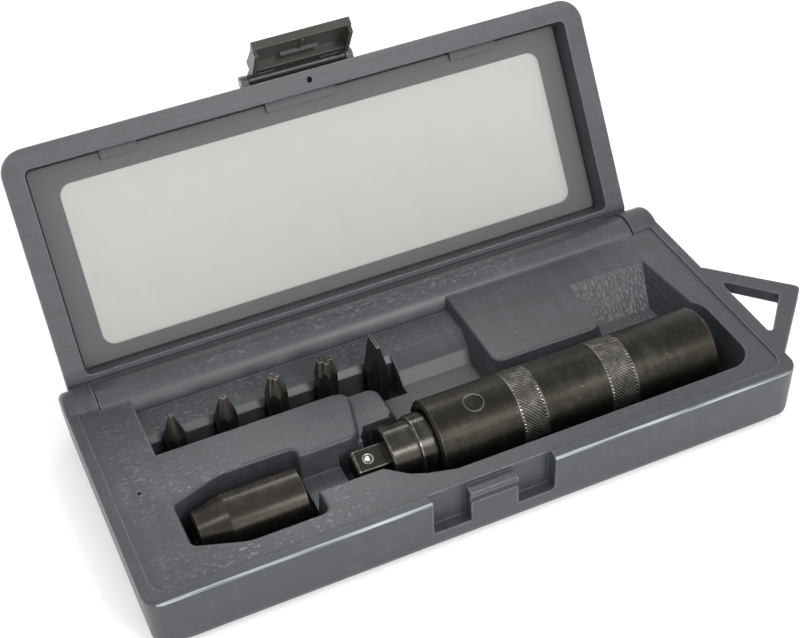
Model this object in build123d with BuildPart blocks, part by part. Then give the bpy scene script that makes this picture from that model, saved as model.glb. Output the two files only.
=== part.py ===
# Hand impact driver set: the striking driver with its square drive, a bit holder
# and five bits, lying in a moulded carrying case with a hinged window lid.
from build123d import *
import math
import os

os.makedirs("parts", exist_ok=True)

# Shared allowances
overrun = 1.0
slide_fit = 0.05
stand_gap = 0.2

# Driver, seen along the case with its drive to the left
body_radius = 16.0
body_length = 118.3
body_rear_chamfer = 1.6
body_front_chamfer = 0.8
knurl_from_front = (33.4, 70.9)
knurl_lengths = (9.9, 11.0)
knurl_depth = 0.3
bore_depth = 72.6
shank_radius = 12.4
shank_reach = 6.9
shank_inside = 41.1
shank_chamfer = 0.7
nose_radius = 11.5
nose_length = 10.7
nose_round = 0.8
drive_size = 9.525
drive_corner_radius = 0.9
drive_length = 12.3
drive_turn = 23.0
drive_chamfer = 0.7
pin_from_front = 17.9
pin_radius = 3.6
pin_turn = 12.0
pin_sink = 0.6
pin_chamfer = 0.3
cam_clearance = 0.3
stroke = 6.0
cam_turn = 20.0
cam_steps = 4
washer_thickness = 2.5
washer_radius = 12.2
washer_bore_radius = 5.0
spring_wire = 2.2
spring_mean_radius = 8.6
spring_turns = 5.5
bush_radius = 14.2
bush_length = 3.2
bush_inset = 2.2
ring_width = 1.2
ring_radial = 1.5
ring_cover = 0.5
ring_gap_angle = 50.0
seal_wire_radius = 0.9
seal_behind_bush = 2.0

# Detent of the square drive
ball_radius = 1.7
ball_proud = 0.7
ball_from_tip = 5.2
ball_bore_depth = 6.6
detent_wire = 0.4
detent_mean_radius = 1.15
detent_turns = 3.5

# Bit holder
holder_radius = 11.5
holder_length = 41.5
holder_taper_length = 12.2
holder_nose_radius = 8.5
holder_chamfer = 0.8
holder_square_depth = 13.5
holder_square_clearance = 0.12
holder_hex_depth = 16.0
holder_hex_clearance = 0.1
clip_from_nose = 4.0
clip_width = 1.0
clip_radial = 0.9
clip_bite = 0.2
clip_gap_angle = 40.0

# Bits
bit_flats = 7.94
bit_pitch = 20.7
bit_foot_chamfer = 0.6
cross_heights = (28.2, 28.6, 30.2, 30.2)
cross_tip_radii = (0.7, 1.4, 2.1, 2.9)
cross_tip_lengths = (11.5, 10.0, 8.5, 6.5)
cross_core_shares = (0.6, 0.55, 0.5, 0.5)
cross_names = ("bit_cross_small", "bit_cross_medium", "bit_cross_large", "bit_cross_blunt")
flute_count = 4
flute_slope = 22.0
flute_opening = 50.0
flat_height = 31.1
flat_tip_thickness = 1.3
flat_tip_length = 13.0

# Room in the tray along the case, from its left end to its right end
holder_end_wall = 23.0
holder_nose_room = 4.0
holder_rear_room = 3.5
holder_gap = 14.5
drive_room = 3.0
driver_end_room = 10.3
driver_end_wall = 12.0

# Room in the tray from its front to the hinge
driver_front_wall = 12.5
driver_front_room = 7.1
driver_back_room = 4.2
holder_forward = 1.8
holder_front_room = 7.9
holder_back_room = 3.9
island_width = 12.9
bit_front_room = 11.3
bit_back_room = 2.5
ledge_slope_run = 2.5
ledge_width = 16.5
ledge_to_hinge = 8.2

# Heights in the tray
driver_below_rim = 7.4
driver_floor_wall = 1.9
holder_below_rim = 10.5
bit_floor = 3.0

# Case base
base_corner_radius = 7.0
base_draft = 2.0
base_bottom_round = 5.0
rim_edge_round = 0.8
end_relief_length = 13.0
end_relief_rise = 3.0
strip_width = 4.6
panel_depth = 0.8
panel_corner_radius = 7.0

# Lid hinge
hinge_below_rim = 8.7
lug_radius = 11.3
lug_length = 12.7
lug_edge_round = 2.5
barrel_radius = 10.5
barrel_gap = 0.7
barrel_end_gap = 0.4
open_angle = 120.3
hinge_pin_radius = 2.0
hinge_pin_reach = 16.0
hinge_pin_cover = 3.0
hinge_pin_chamfer = 0.4

# Lid frame
lid_side_gap = 0.3
lid_rim_gap = 0.2
lid_height = 14.0
lid_corner_radius = 10.0
lid_rear_corner_radius = 3.6
lid_draft = 3.0
lid_top_round = 2.5
lid_back_from_axis = 2.0
lid_lug_gap = 0.5
crease_from_axis = 11.1
crease_step = 0.5
lid_rim_width = 8.4
lid_rear_strip = 2.2
cavity_corner_radius = 2.5
cavity_draft = 4.0
sheet_over_driver = 0.9
sheet_thickness = 1.2
sheet_side_gap = 1.4
sheet_corner_radius = 2.0
window_side_inset = 11.6
window_front_inset = 9.8
window_back_inset = 7.2
window_corner_radius = 5.0
lid_hole_radius = 1.25
lid_hole_x = 2.0
lid_hole_inset = 4.0
lid_hole_depth = 4.0
tab_height = 1.3
tab_reach = 4.3
tab_gap = 0.1
tab_left_inset = 46.6
tab_middle_x = -1.2
tab_right_inset = 48.6
tab_lengths = (15.0, 30.5, 21.0)

# Latch
latch_width = 41.5
latch_rest_angle = 20.0
latch_pivot_rise = 7.6
latch_pivot_out = 1.5
latch_barrel_radius = 2.1
latch_barrel_gap = 0.4
latch_pin_radius = 1.0
latch_lug_radius = 2.6
latch_lug_width = 3.0
latch_side_gap = 0.4
latch_flange = 2.0
latch_neck = 7.8
latch_shoulder = 1.5
latch_length = 24.0
latch_plate_out = 5.4
latch_plate = 1.8
latch_wall = 1.5
latch_wall_depth = 4.8
latch_wall_low_depth = 2.6
latch_wall_end_gap = 1.4
latch_flare = 1.6
latch_flare_length = 4.0
latch_slot_width = 8.5
latch_slot_height = 1.8
latch_slot_out = 14.0
latch_rib_width = 1.2
latch_rib_height = 0.6
latch_hook_width = 16.0
latch_hook_height = 1.8
latch_hook_reach = 1.3
latch_hook_drop = 12.2

# Latch recess in the base front
recess_side_room = 3.75
recess_depth = 5.4
recess_drop = 16.5
recess_corner_radius = 2.0
boss_half = 9.5
boss_drop = 2.5
boss_step = 0.6
catch_gap = 0.3

# Carrying loop at the right end
loop_thickness = 5.0
loop_reach = 28.0
loop_apex_from_front = 40.5
loop_back_from_front = 68.8
loop_front_from_front = 10.8
loop_bar = 7.2
loop_corner_radius = 2.5

# Driver pocket and the hollow round its nose
driver_pocket_corner = 10.0
driver_pocket_draft = 12.0
driver_pocket_lead = 9.0
driver_pocket_neck = 1.6
shank_front_step = 2.9
nose_front_step = 2.4
nose_back_step = 3.4
nose_corner_room = 1.6
nose_end_room = 4.8
nose_pocket_draft = 8.0
nose_back_room = 0.2
nose_floor_wall = 1.4
nose_hollow_run = 8.2
channel_front_half = 11.0
channel_back_half = 9.0
drive_channel_front_half = 9.1
drive_channel_back_half = 7.6
drive_channel_depth = 18.0
gap_floor_depth = 10.8
hollow_past_block = 2.2

# Holder pocket
holder_pocket_draft = 6.0
holder_pocket_bend = 16.0
holder_nose_inset = 6.8
holder_nose_run = 19.0
pocket_corner = 3.0
rim_round = 1.0

# Bit bay and the forms round it
bit_end_wall = 24.7
bit_bay_room = 10.3
bit_trough_room = 8.2
bit_niche_radius = 5.3
ledge_depth = 5.5
ledge_foot_depth = 8.0
crease_run = 7.5
slope_crease_depth = 8.7
slope_run = 12.5
platform_depth = 13.0
platform_past_bit = 4.3
island_step = 1.8
island_lean = 5.8
island_corner = 4.0
island_draft = 16.0
pad_depth = 4.5
pad_draft = 24.0
block_from_body = 39.4
block_to_rear = 31.9
block_gap = 1.2
block_corner = 4.0
block_draft = 15.0

# Finger ramp behind the driver
ramp_in_block = 3.8
ramp_past_body = 3.8
ramp_front_room = 1.0
ramp_side_run = 4.5
ramp_past_ledge = 1.0
ramp_depth = 15.0

# Vent hole
vent_from_end = 13.6
vent_from_front = 53.2
vent_radius = 0.8
vent_depth = 3.0

# Places along the case, counted from its left end
tray_runs = (
    holder_end_wall,
    holder_nose_room,
    holder_length,
    holder_rear_room,
    holder_gap,
    drive_room,
    drive_length,
    nose_length,
    shank_reach,
    body_length,
    driver_end_room,
    driver_end_wall,
)
case_length = sum(tray_runs)
left_end_x = -case_length / 2
holder_pocket_left_x = left_end_x + holder_end_wall
holder_nose_x = holder_pocket_left_x + holder_nose_room
holder_shoulder_x = holder_nose_x + holder_taper_length
holder_rear_x = holder_nose_x + holder_length
holder_pocket_right_x = holder_rear_x + holder_rear_room
hollow_left_x = holder_pocket_right_x + holder_gap
drive_tip_x = hollow_left_x + drive_room
nose_front_x = drive_tip_x + drive_length
shank_front_x = nose_front_x + nose_length
body_front_x = shank_front_x + shank_reach
body_rear_x = body_front_x + body_length
shank_rear_x = body_front_x + shank_inside
bore_end_x = body_front_x + bore_depth
pin_x = body_front_x + pin_from_front
knurl_x_places = [body_front_x + place for place in knurl_from_front]
nose_pocket_left_x = nose_front_x - nose_end_room
nose_pocket_corner_x = nose_front_x - nose_corner_room
nose_hollow_right_x = nose_front_x + nose_hollow_run
driver_pocket_left_x = body_front_x - driver_pocket_lead
driver_pocket_neck_x = body_front_x + driver_pocket_neck
driver_pocket_right_x = body_rear_x + driver_end_room
block_left_x = body_front_x + block_from_body
block_right_x = body_rear_x - block_to_rear
hollow_right_x = block_right_x + hollow_past_block
ramp_left_x = block_right_x - ramp_in_block
ramp_right_x = body_rear_x + ramp_past_body
ramp_front_right_x = driver_pocket_right_x - ramp_front_room
bit_bay_left_x = left_end_x + bit_end_wall
bit_first_x = bit_bay_left_x + bit_bay_room
bit_x_places = [bit_first_x + index * bit_pitch for index in range(len(cross_heights) + 1)]
bit_trough_right_x = bit_x_places[-1] + bit_trough_room
platform_left_x = bit_x_places[-1] - platform_past_bit
pad_right_x = shank_front_x
island_front_right_x = nose_pocket_left_x - island_step
island_back_right_x = island_front_right_x + island_lean
vent_x = left_end_x + vent_from_end

# Places from the front of the case to its hinge
driver_pocket_front = driver_front_wall
driver_from_front = driver_pocket_front + driver_front_room + body_radius
driver_pocket_back = driver_from_front + body_radius + driver_back_room
shank_pocket_front = driver_pocket_front + shank_front_step
nose_pocket_front = shank_pocket_front + nose_front_step
nose_pocket_back = driver_pocket_back - nose_back_step
nose_hollow_back = driver_from_front + nose_radius + nose_back_room
channel_front = driver_from_front - channel_front_half
channel_back = driver_from_front + channel_back_half
drive_channel_front = driver_from_front - drive_channel_front_half
drive_channel_back = driver_from_front + drive_channel_back_half
holder_from_front = driver_from_front - holder_forward
holder_pocket_front = holder_from_front - holder_radius - holder_front_room
holder_pocket_back = holder_from_front + holder_radius + holder_back_room
block_front = driver_pocket_back + block_gap
bit_trough_front = driver_pocket_back + island_width
bit_row_from_front = bit_trough_front + bit_front_room
bit_trough_back = bit_row_from_front + bit_back_room
ledge_front = bit_trough_back + ledge_slope_run
slope_crease = ledge_front - crease_run
slope_foot = ledge_front - slope_run
ramp_back = ledge_front + ramp_past_ledge
tray_depth = ledge_front + ledge_width
hinge_from_front = tray_depth + ledge_to_hinge
case_depth = hinge_from_front + lug_radius
front_y = -case_depth / 2
hinge_y = front_y + hinge_from_front
driver_y = front_y + driver_from_front
holder_y = front_y + holder_from_front
bit_y = front_y + bit_row_from_front

# Heights over the ground
driver_floor = driver_floor_wall
driver_z = driver_floor + stand_gap + body_radius
rim_height = driver_z + driver_below_rim
tray_top = rim_height - panel_depth
hinge_z = rim_height - hinge_below_rim
holder_z = rim_height - holder_below_rim
holder_floor = holder_z - holder_radius - stand_gap
nose_floor = driver_z - shank_radius - stand_gap
sheet_depth = body_radius - driver_below_rim + sheet_over_driver
lug_inner_x = case_length / 2 - lug_length


def box_outline(low_x, high_x, low_y, high_y):
    """Corners of a straight outline, going round from the low corner."""
    return [(low_x, low_y), (high_x, low_y), (high_x, high_y), (low_x, high_y)]


# Case base: a drafted block with hinge lugs and a carrying loop
with BuildPart() as case_base:
    with BuildSketch(Plane.XY.offset(rim_height)):
        RectangleRounded(case_length, case_depth, base_corner_radius)
    extrude(amount=-rim_height, taper=base_draft)
    fillet(case_base.faces().sort_by(Axis.Z)[-1].edges(), radius=rim_edge_round)
    fillet(case_base.faces().sort_by(Axis.Z)[0].edges(), radius=base_bottom_round)
    # Nothing of the block stands above the hinge axis behind it
    with BuildSketch(Plane.YZ):
        with BuildLine():
            Polyline(
                *box_outline(hinge_y, -front_y + overrun, hinge_z, rim_height + overrun),
                close=True,
            )
        make_face()
    extrude(amount=case_length, both=True, mode=Mode.SUBTRACT)
    # Hinge lugs stand proud of the rim at both ends of the back edge
    for side in (-1, 1):
        lug_root = (side * lug_inner_x, hinge_y, hinge_z)
        lug_plane = Plane(origin=lug_root, x_dir=(side, 0, 0), z_dir=(0, -1, 0))
        with BuildSketch(lug_plane) as lug_profile:
            with BuildLine():
                Polyline(*box_outline(0, lug_length, 0, lug_radius), close=True)
            make_face()
            lug_rim = lug_profile.vertices().group_by(Axis.Y)[-1].sort_by(Axis.X)
            fillet(lug_rim[-1], radius=lug_edge_round)
        revolve(axis=Axis((0, hinge_y, hinge_z), (1, 0, 0)))
        wall_lean = math.tan(math.radians(base_draft))
        end_wall = Plane(origin=(side * case_length / 2, 0, rim_height), z_dir=(side, 0, -wall_lean))
        split(bisect_by=end_wall, keep=Keep.BOTTOM)
    # Carrying loop
    loop_wall_x = case_length / 2
    loop_root_x = loop_wall_x - base_corner_radius
    loop_tip = (loop_wall_x + loop_reach, front_y + loop_apex_from_front)
    loop_back = (loop_wall_x, front_y + loop_back_from_front)
    loop_front = (loop_wall_x, front_y + loop_front_from_front)
    with BuildSketch(Plane.XY.offset(rim_height)) as loop_outline:
        with BuildLine():
            Polyline(
                (loop_root_x, loop_front[1]),
                loop_front,
                loop_tip,
                loop_back,
                (loop_root_x, loop_back[1]),
                close=True,
            )
        make_face()
        fillet(loop_outline.vertices().sort_by(Axis.X)[-1:], radius=loop_corner_radius)
    extrude(amount=-loop_thickness)
    loop_slope_back = math.hypot(loop_reach, loop_back[1] - loop_tip[1])
    loop_slope_front = math.hypot(loop_reach, loop_tip[1] - loop_front[1])
    hole_back_y = loop_back[1] - loop_bar * loop_slope_back / loop_reach
    hole_front_y = loop_front[1] + loop_bar * loop_slope_front / loop_reach
    hole_share = (hole_back_y - hole_front_y) / (loop_back[1] - loop_front[1])
    hole_tip_y = hole_front_y + hole_share * (loop_tip[1] - loop_front[1])
    hole_left_x = loop_wall_x + loop_corner_radius / 2
    with BuildSketch(Plane.XY.offset(rim_height)) as loop_hole:
        with BuildLine():
            Polyline(
                (hole_left_x, hole_front_y),
                (loop_wall_x + loop_reach * hole_share, hole_tip_y),
                (hole_left_x, hole_back_y),
                close=True,
            )
        make_face()
        fillet(loop_hole.vertices(), radius=loop_corner_radius / 2)
    extrude(amount=-loop_thickness - overrun, mode=Mode.SUBTRACT)
    # Tray panel, let in a little under the rim strip and open to the back
    tray_back_y = front_y + tray_depth
    with BuildSketch(Plane.XY.offset(rim_height)) as panel_outline:
        panel_half = case_length / 2 - strip_width
        with BuildLine():
            Polyline(
                *box_outline(-panel_half, panel_half, front_y + strip_width, tray_back_y + overrun),
                close=True,
            )
        make_face()
        fillet(panel_outline.vertices().group_by(Axis.Y)[0], radius=panel_corner_radius)
    extrude(amount=-panel_depth, mode=Mode.SUBTRACT)
    # Bit bay: a ledge behind that slopes down to the trough
    with BuildSketch(Plane.YZ.offset(bit_bay_left_x)):
        with BuildLine():
            Polyline(
                (tray_back_y + overrun, rim_height + overrun),
                (tray_back_y + overrun, rim_height - ledge_depth),
                (front_y + ledge_front, rim_height - ledge_depth),
                (front_y + bit_trough_back, rim_height - ledge_foot_depth),
                (front_y + bit_trough_front, rim_height - ledge_foot_depth),
                (front_y + bit_trough_front, rim_height + overrun),
                close=True,
            )
        make_face()
    extrude(amount=bit_trough_right_x - bit_bay_left_x, mode=Mode.SUBTRACT)
    # Platform between the bits and the driver, under a slope with a crease
    with BuildSketch(Plane.YZ.offset(platform_left_x)):
        with BuildLine():
            Polyline(
                (tray_back_y + overrun, rim_height + overrun),
                (tray_back_y + overrun, rim_height - ledge_depth),
                (front_y + ledge_front, rim_height - ledge_depth),
                (front_y + slope_crease, rim_height - slope_crease_depth),
                (front_y + slope_foot, rim_height - platform_depth),
                (driver_y, rim_height - platform_depth),
                (driver_y, rim_height + overrun),
                close=True,
            )
        make_face()
    extrude(amount=(block_left_x + block_right_x) / 2 - platform_left_x, mode=Mode.SUBTRACT)
    # Hollow behind the driver and its nose, and the shallow gap before the holder
    with BuildSketch(Plane.XY.offset(rim_height)):
        with BuildLine():
            Polyline(
                (hollow_left_x, front_y + channel_front),
                (hollow_right_x, front_y + channel_front),
                (hollow_right_x, front_y + block_front + block_corner),
                (platform_left_x, front_y + block_front + block_corner),
                (platform_left_x, front_y + bit_trough_front),
                (hollow_left_x, front_y + bit_trough_front),
                close=True,
            )
        make_face()
    extrude(amount=-platform_depth, mode=Mode.SUBTRACT)
    with BuildSketch(Plane.XY.offset(rim_height)):
        with BuildLine():
            Polyline(
                *box_outline(
                    holder_pocket_right_x - pocket_corner,
                    hollow_left_x,
                    front_y + channel_front,
                    front_y + channel_back + island_corner,
                ),
                close=True,
            )
        make_face()
    extrude(amount=-gap_floor_depth, mode=Mode.SUBTRACT)
    # Finger ramp behind the driver
    with BuildSketch(Plane.XY.offset(rim_height)):
        with BuildLine():
            Polyline(
                (ramp_left_x, driver_y),
                (ramp_front_right_x, driver_y),
                (ramp_right_x, front_y + ramp_back),
                (ramp_left_x, front_y + ramp_back),
                close=True,
            )
        make_face()
    with BuildSketch(Plane.XY.offset(rim_height - ramp_depth)):
        with BuildLine():
            Polyline(
                (ramp_left_x, driver_y),
                (ramp_front_right_x - ramp_side_run, driver_y),
                (ramp_right_x - ramp_side_run, front_y + ramp_back - ramp_depth),
                (ramp_left_x, front_y + ramp_back - ramp_depth),
                close=True,
            )
        make_face()
    loft(ruled=True, mode=Mode.SUBTRACT)
    # Block behind the driver, island in front of the bits and the low pad beside it
    with BuildSketch(Plane.XY.offset(tray_top)) as block_outline:
        with BuildLine():
            Polyline(
                *box_outline(block_left_x, block_right_x, front_y + block_front, tray_back_y),
                close=True,
            )
        make_face()
        fillet(block_outline.vertices().group_by(Axis.Y)[0], radius=block_corner)
    extrude(amount=-ramp_depth, taper=-block_draft)
    with BuildSketch(Plane.XY.offset(tray_top)) as island_outline:
        with BuildLine():
            Polyline(
                (holder_pocket_right_x - pocket_corner, front_y + channel_back),
                (island_front_right_x, front_y + channel_back),
                (island_back_right_x, front_y + bit_trough_front),
                (holder_pocket_right_x - pocket_corner, front_y + bit_trough_front),
                close=True,
            )
        make_face()
        fillet(island_outline.vertices().group_by(Axis.X)[1:], radius=island_corner)
    extrude(amount=-platform_depth, taper=-island_draft)
    with BuildSketch(Plane.XY.offset(rim_height - pad_depth)) as pad_outline:
        with BuildLine():
            Polyline(
                *box_outline(
                    hollow_left_x,
                    pad_right_x,
                    front_y + channel_back,
                    front_y + bit_trough_front,
                ),
                close=True,
            )
        make_face()
        fillet(pad_outline.vertices().group_by(Axis.X)[-1], radius=island_corner)
    extrude(amount=pad_depth - platform_depth, taper=-pad_draft)
    # Trough with a niche for each bit
    with BuildSketch(Plane.XY.offset(rim_height)):
        trough_mid_x = (bit_bay_left_x + bit_trough_right_x) / 2
        trough_mid_y = front_y + (bit_trough_front + bit_trough_back) / 2
        with Locations((trough_mid_x, trough_mid_y)):
            Rectangle(bit_trough_right_x - bit_bay_left_x, bit_trough_back - bit_trough_front)
        with Locations(*[(place, bit_y) for place in bit_x_places]):
            Circle(bit_niche_radius)
    extrude(amount=-(rim_height - bit_floor), mode=Mode.SUBTRACT)
    # Driver pocket
    with BuildSketch(Plane.XY.offset(tray_top)) as driver_outline:
        with BuildLine():
            Polyline(
                (driver_pocket_neck_x, front_y + driver_pocket_front),
                (driver_pocket_right_x, front_y + driver_pocket_front),
                (driver_pocket_right_x, front_y + driver_pocket_back),
                (driver_pocket_left_x, front_y + driver_pocket_back),
                (driver_pocket_left_x, front_y + shank_pocket_front),
                close=True,
            )
        make_face()
        fillet(driver_outline.vertices().group_by(Axis.X)[-1], radius=driver_pocket_corner)
        fillet(driver_outline.vertices().group_by(Axis.X)[0], radius=pocket_corner)
    extrude(amount=driver_floor - tray_top, taper=driver_pocket_draft, mode=Mode.SUBTRACT)
    # Room for the shank and the nose
    with BuildSketch(Plane.XY.offset(tray_top)) as nose_outline:
        with BuildLine():
            Polyline(
                (driver_pocket_neck_x, front_y + driver_pocket_front),
                (driver_pocket_left_x, front_y + shank_pocket_front),
                (nose_front_x + pocket_corner, front_y + nose_pocket_front),
                (nose_pocket_left_x, front_y + channel_front),
                (nose_pocket_left_x, front_y + nose_hollow_back),
                (nose_pocket_corner_x, front_y + nose_pocket_back),
                (driver_pocket_neck_x, front_y + nose_pocket_back),
                close=True,
            )
        make_face()
    extrude(amount=nose_floor - tray_top, taper=nose_pocket_draft, mode=Mode.SUBTRACT)
    # Channel for the square drive
    with BuildSketch(Plane.XY.offset(rim_height)):
        with BuildLine():
            Polyline(
                *box_outline(
                    hollow_left_x,
                    nose_pocket_left_x + pocket_corner,
                    front_y + drive_channel_front,
                    front_y + drive_channel_back,
                ),
                close=True,
            )
        make_face()
    extrude(amount=-drive_channel_depth, mode=Mode.SUBTRACT)
    # Deeper hollow under and behind the nose
    with BuildSketch(Plane.XY.offset(rim_height)):
        with BuildLine():
            Polyline(
                *box_outline(
                    nose_pocket_left_x,
                    nose_hollow_right_x,
                    front_y + drive_channel_front,
                    front_y + nose_hollow_back,
                ),
                close=True,
            )
        make_face()
    extrude(amount=nose_floor_wall - rim_height, mode=Mode.SUBTRACT)
    # Bit holder pocket, narrowed round the nose
    with BuildSketch(Plane.XY.offset(tray_top)) as holder_outline:
        with BuildLine():
            Polyline(
                (holder_pocket_right_x, front_y + holder_pocket_front),
                (holder_pocket_right_x, front_y + holder_pocket_back),
                (holder_pocket_left_x + holder_nose_run, front_y + holder_pocket_back),
                (holder_pocket_left_x, front_y + holder_pocket_back - holder_nose_inset),
                (holder_pocket_left_x, front_y + holder_pocket_front + holder_nose_inset),
                (holder_pocket_left_x + holder_nose_run, front_y + holder_pocket_front),
                close=True,
            )
        make_face()
        holder_corners = holder_outline.vertices().group_by(Axis.X)
        fillet(holder_corners[1], radius=holder_pocket_bend)
        holder_corners = holder_outline.vertices().group_by(Axis.X)
        fillet([*holder_corners[0], *holder_corners[-1]], radius=pocket_corner)
    extrude(amount=holder_floor - tray_top, taper=holder_pocket_draft, mode=Mode.SUBTRACT)
    # Rounds along the rims of the block, the ramp, the island and the holder pocket
    rims = case_base.edges().filter_by_position(Axis.Z, tray_top, tray_top)
    rims = rims.filter_by_position(Axis.X, block_left_x, ramp_front_right_x)
    rims = rims.filter_by_position(Axis.Y, front_y + block_front, tray_back_y - overrun)
    fillet(rims, radius=rim_round)
    rims = case_base.edges().filter_by_position(Axis.Z, tray_top, tray_top)
    rims = rims.filter_by_position(Axis.X, holder_pocket_left_x, holder_pocket_right_x)
    rims = rims.filter_by_position(Axis.Y, front_y + holder_pocket_front, front_y + holder_pocket_back)
    fillet(rims, radius=rim_round)
    rims = case_base.edges().filter_by_position(Axis.Z, tray_top, tray_top)
    rims = rims.filter_by_position(Axis.X, holder_pocket_right_x, island_back_right_x)
    island_back_y = front_y + bit_trough_front - rim_round
    rims = rims.filter_by_position(Axis.Y, front_y + channel_back, island_back_y)
    fillet(rims, radius=rim_round)
    # Barrel space between the lugs, open to the back
    with BuildSketch(Plane.YZ) as barrel_space:
        with Locations((hinge_y, hinge_z)):
            Circle(barrel_radius + barrel_gap)
        with BuildLine():
            Polyline(
                (front_y + tray_depth, rim_height + overrun),
                (front_y + tray_depth, hinge_z),
                (hinge_y, hinge_z),
                (hinge_y, hinge_z - barrel_radius - barrel_gap),
                (-front_y + overrun, hinge_z - barrel_radius - barrel_gap),
                (-front_y + overrun, rim_height + overrun),
                close=True,
            )
        make_face()
    extrude(amount=lug_inner_x, both=True, mode=Mode.SUBTRACT)
    # Hinge pin holes, blind from the barrel space
    for side in (-1, 1):
        with BuildSketch(Plane.YZ.offset(side * lug_inner_x)):
            with Locations((hinge_y, hinge_z)):
                Circle(hinge_pin_radius + slide_fit)
        extrude(amount=side * (lug_length - hinge_pin_cover), mode=Mode.SUBTRACT)
    # Raised ends under the base
    for side in (-1, 1):
        relief_x = side * (case_length / 2 - end_relief_length / 2)
        with BuildSketch(Plane.XY):
            with Locations((relief_x, 0)):
                Rectangle(end_relief_length, case_depth)
        extrude(amount=end_relief_rise, mode=Mode.SUBTRACT)
    # Latch recess in the front wall, with a catch boss in the middle
    recess_half = latch_width / 2 + recess_side_room
    with BuildSketch(Plane.XZ.offset(-front_y)) as recess_outline:
        with BuildLine():
            Polyline(
                *box_outline(-recess_half, recess_half, rim_height - recess_drop, rim_height + overrun),
                close=True,
            )
        make_face()
        fillet(recess_outline.vertices().group_by(Axis.Y)[0], radius=recess_corner_radius)
    extrude(amount=-recess_depth, mode=Mode.SUBTRACT)
    boss_width = 2 * boss_half
    boss_height = recess_drop - boss_drop
    with BuildSketch(Plane.XZ.offset(-front_y - boss_step)):
        with Locations((0, rim_height - boss_drop - boss_height / 2)):
            Rectangle(boss_width, boss_height)
    extrude(amount=boss_step - recess_depth)
    # Groove in the boss that the latch hook drops into
    pivot_over_rim = latch_pivot_rise + lid_rim_gap - panel_depth
    catch_top = pivot_over_rim - latch_hook_drop + catch_gap
    catch_height = latch_hook_height + 2 * catch_gap
    catch_depth = latch_hook_reach + catch_gap
    with BuildSketch(Plane.XZ.offset(-front_y - boss_step)):
        with Locations((0, rim_height + catch_top - catch_height / 2)):
            Rectangle(boss_width, catch_height)
    extrude(amount=-catch_depth + boss_step, mode=Mode.SUBTRACT)
    # Vent hole in the tray
    with Locations(Plane.XY.offset(rim_height)):
        with Locations((vent_x, front_y + vent_from_front)):
            Hole(radius=vent_radius, depth=vent_depth)
case_base.part.label = "case_base"
export_step(case_base.part, "parts/case_base.step")

# Hinge pins, pressed into the lugs from inside
for side, pin_name in ((-1, "hinge_pin_left"), (1, "hinge_pin_right")):
    with BuildPart() as hinge_pin:
        with BuildSketch(Plane.YZ.offset(side * (lug_inner_x + lug_length - hinge_pin_cover))):
            with Locations((hinge_y, hinge_z)):
                Circle(hinge_pin_radius)
        extrude(amount=-side * (lug_length - hinge_pin_cover + hinge_pin_reach))
        chamfer(hinge_pin.edges().filter_by(GeomType.CIRCLE), length=hinge_pin_chamfer)
    hinge_pin.part.label = pin_name
    export_step(hinge_pin.part, f"parts/{pin_name}.step")

# Lid frame, drawn in the closed lid's own directions and standing open:
# v runs from the hinge axis to the back, h away from the tray
lid_turn = math.radians(open_angle)
lid_up = (0, math.sin(lid_turn), math.cos(lid_turn))
lid_plane = Plane(origin=(0, hinge_y, hinge_z), x_dir=(1, 0, 0), z_dir=lid_up)
lid_back = (0, math.cos(lid_turn), -math.sin(lid_turn))
lid_side = Plane(origin=(0, hinge_y, hinge_z), x_dir=lid_back, z_dir=(1, 0, 0))
lid_rim_h = hinge_below_rim - panel_depth + lid_rim_gap
lid_top_h = lid_rim_h + lid_height
lid_half_length = case_length / 2 - strip_width - lid_side_gap
lid_front_v = strip_width + lid_side_gap - hinge_from_front
cavity_front_v = lid_front_v + lid_rim_width
cavity_back_v = lid_rear_strip - crease_from_axis - 2 * lid_rear_strip
cavity_half_length = lid_half_length - lid_rim_width
sheet_front_v = cavity_front_v + sheet_side_gap
sheet_back_v = cavity_back_v - sheet_side_gap
sheet_half_length = cavity_half_length - sheet_side_gap
window_half_length = cavity_half_length - window_side_inset
window_front_v = cavity_front_v + window_front_inset
window_back_v = cavity_back_v - window_back_inset
barrel_half_length = lug_inner_x - barrel_end_gap
latch_half = latch_width / 2
pivot_v = lid_front_v - latch_pivot_out
pivot_h = lid_rim_h + latch_pivot_rise

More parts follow.
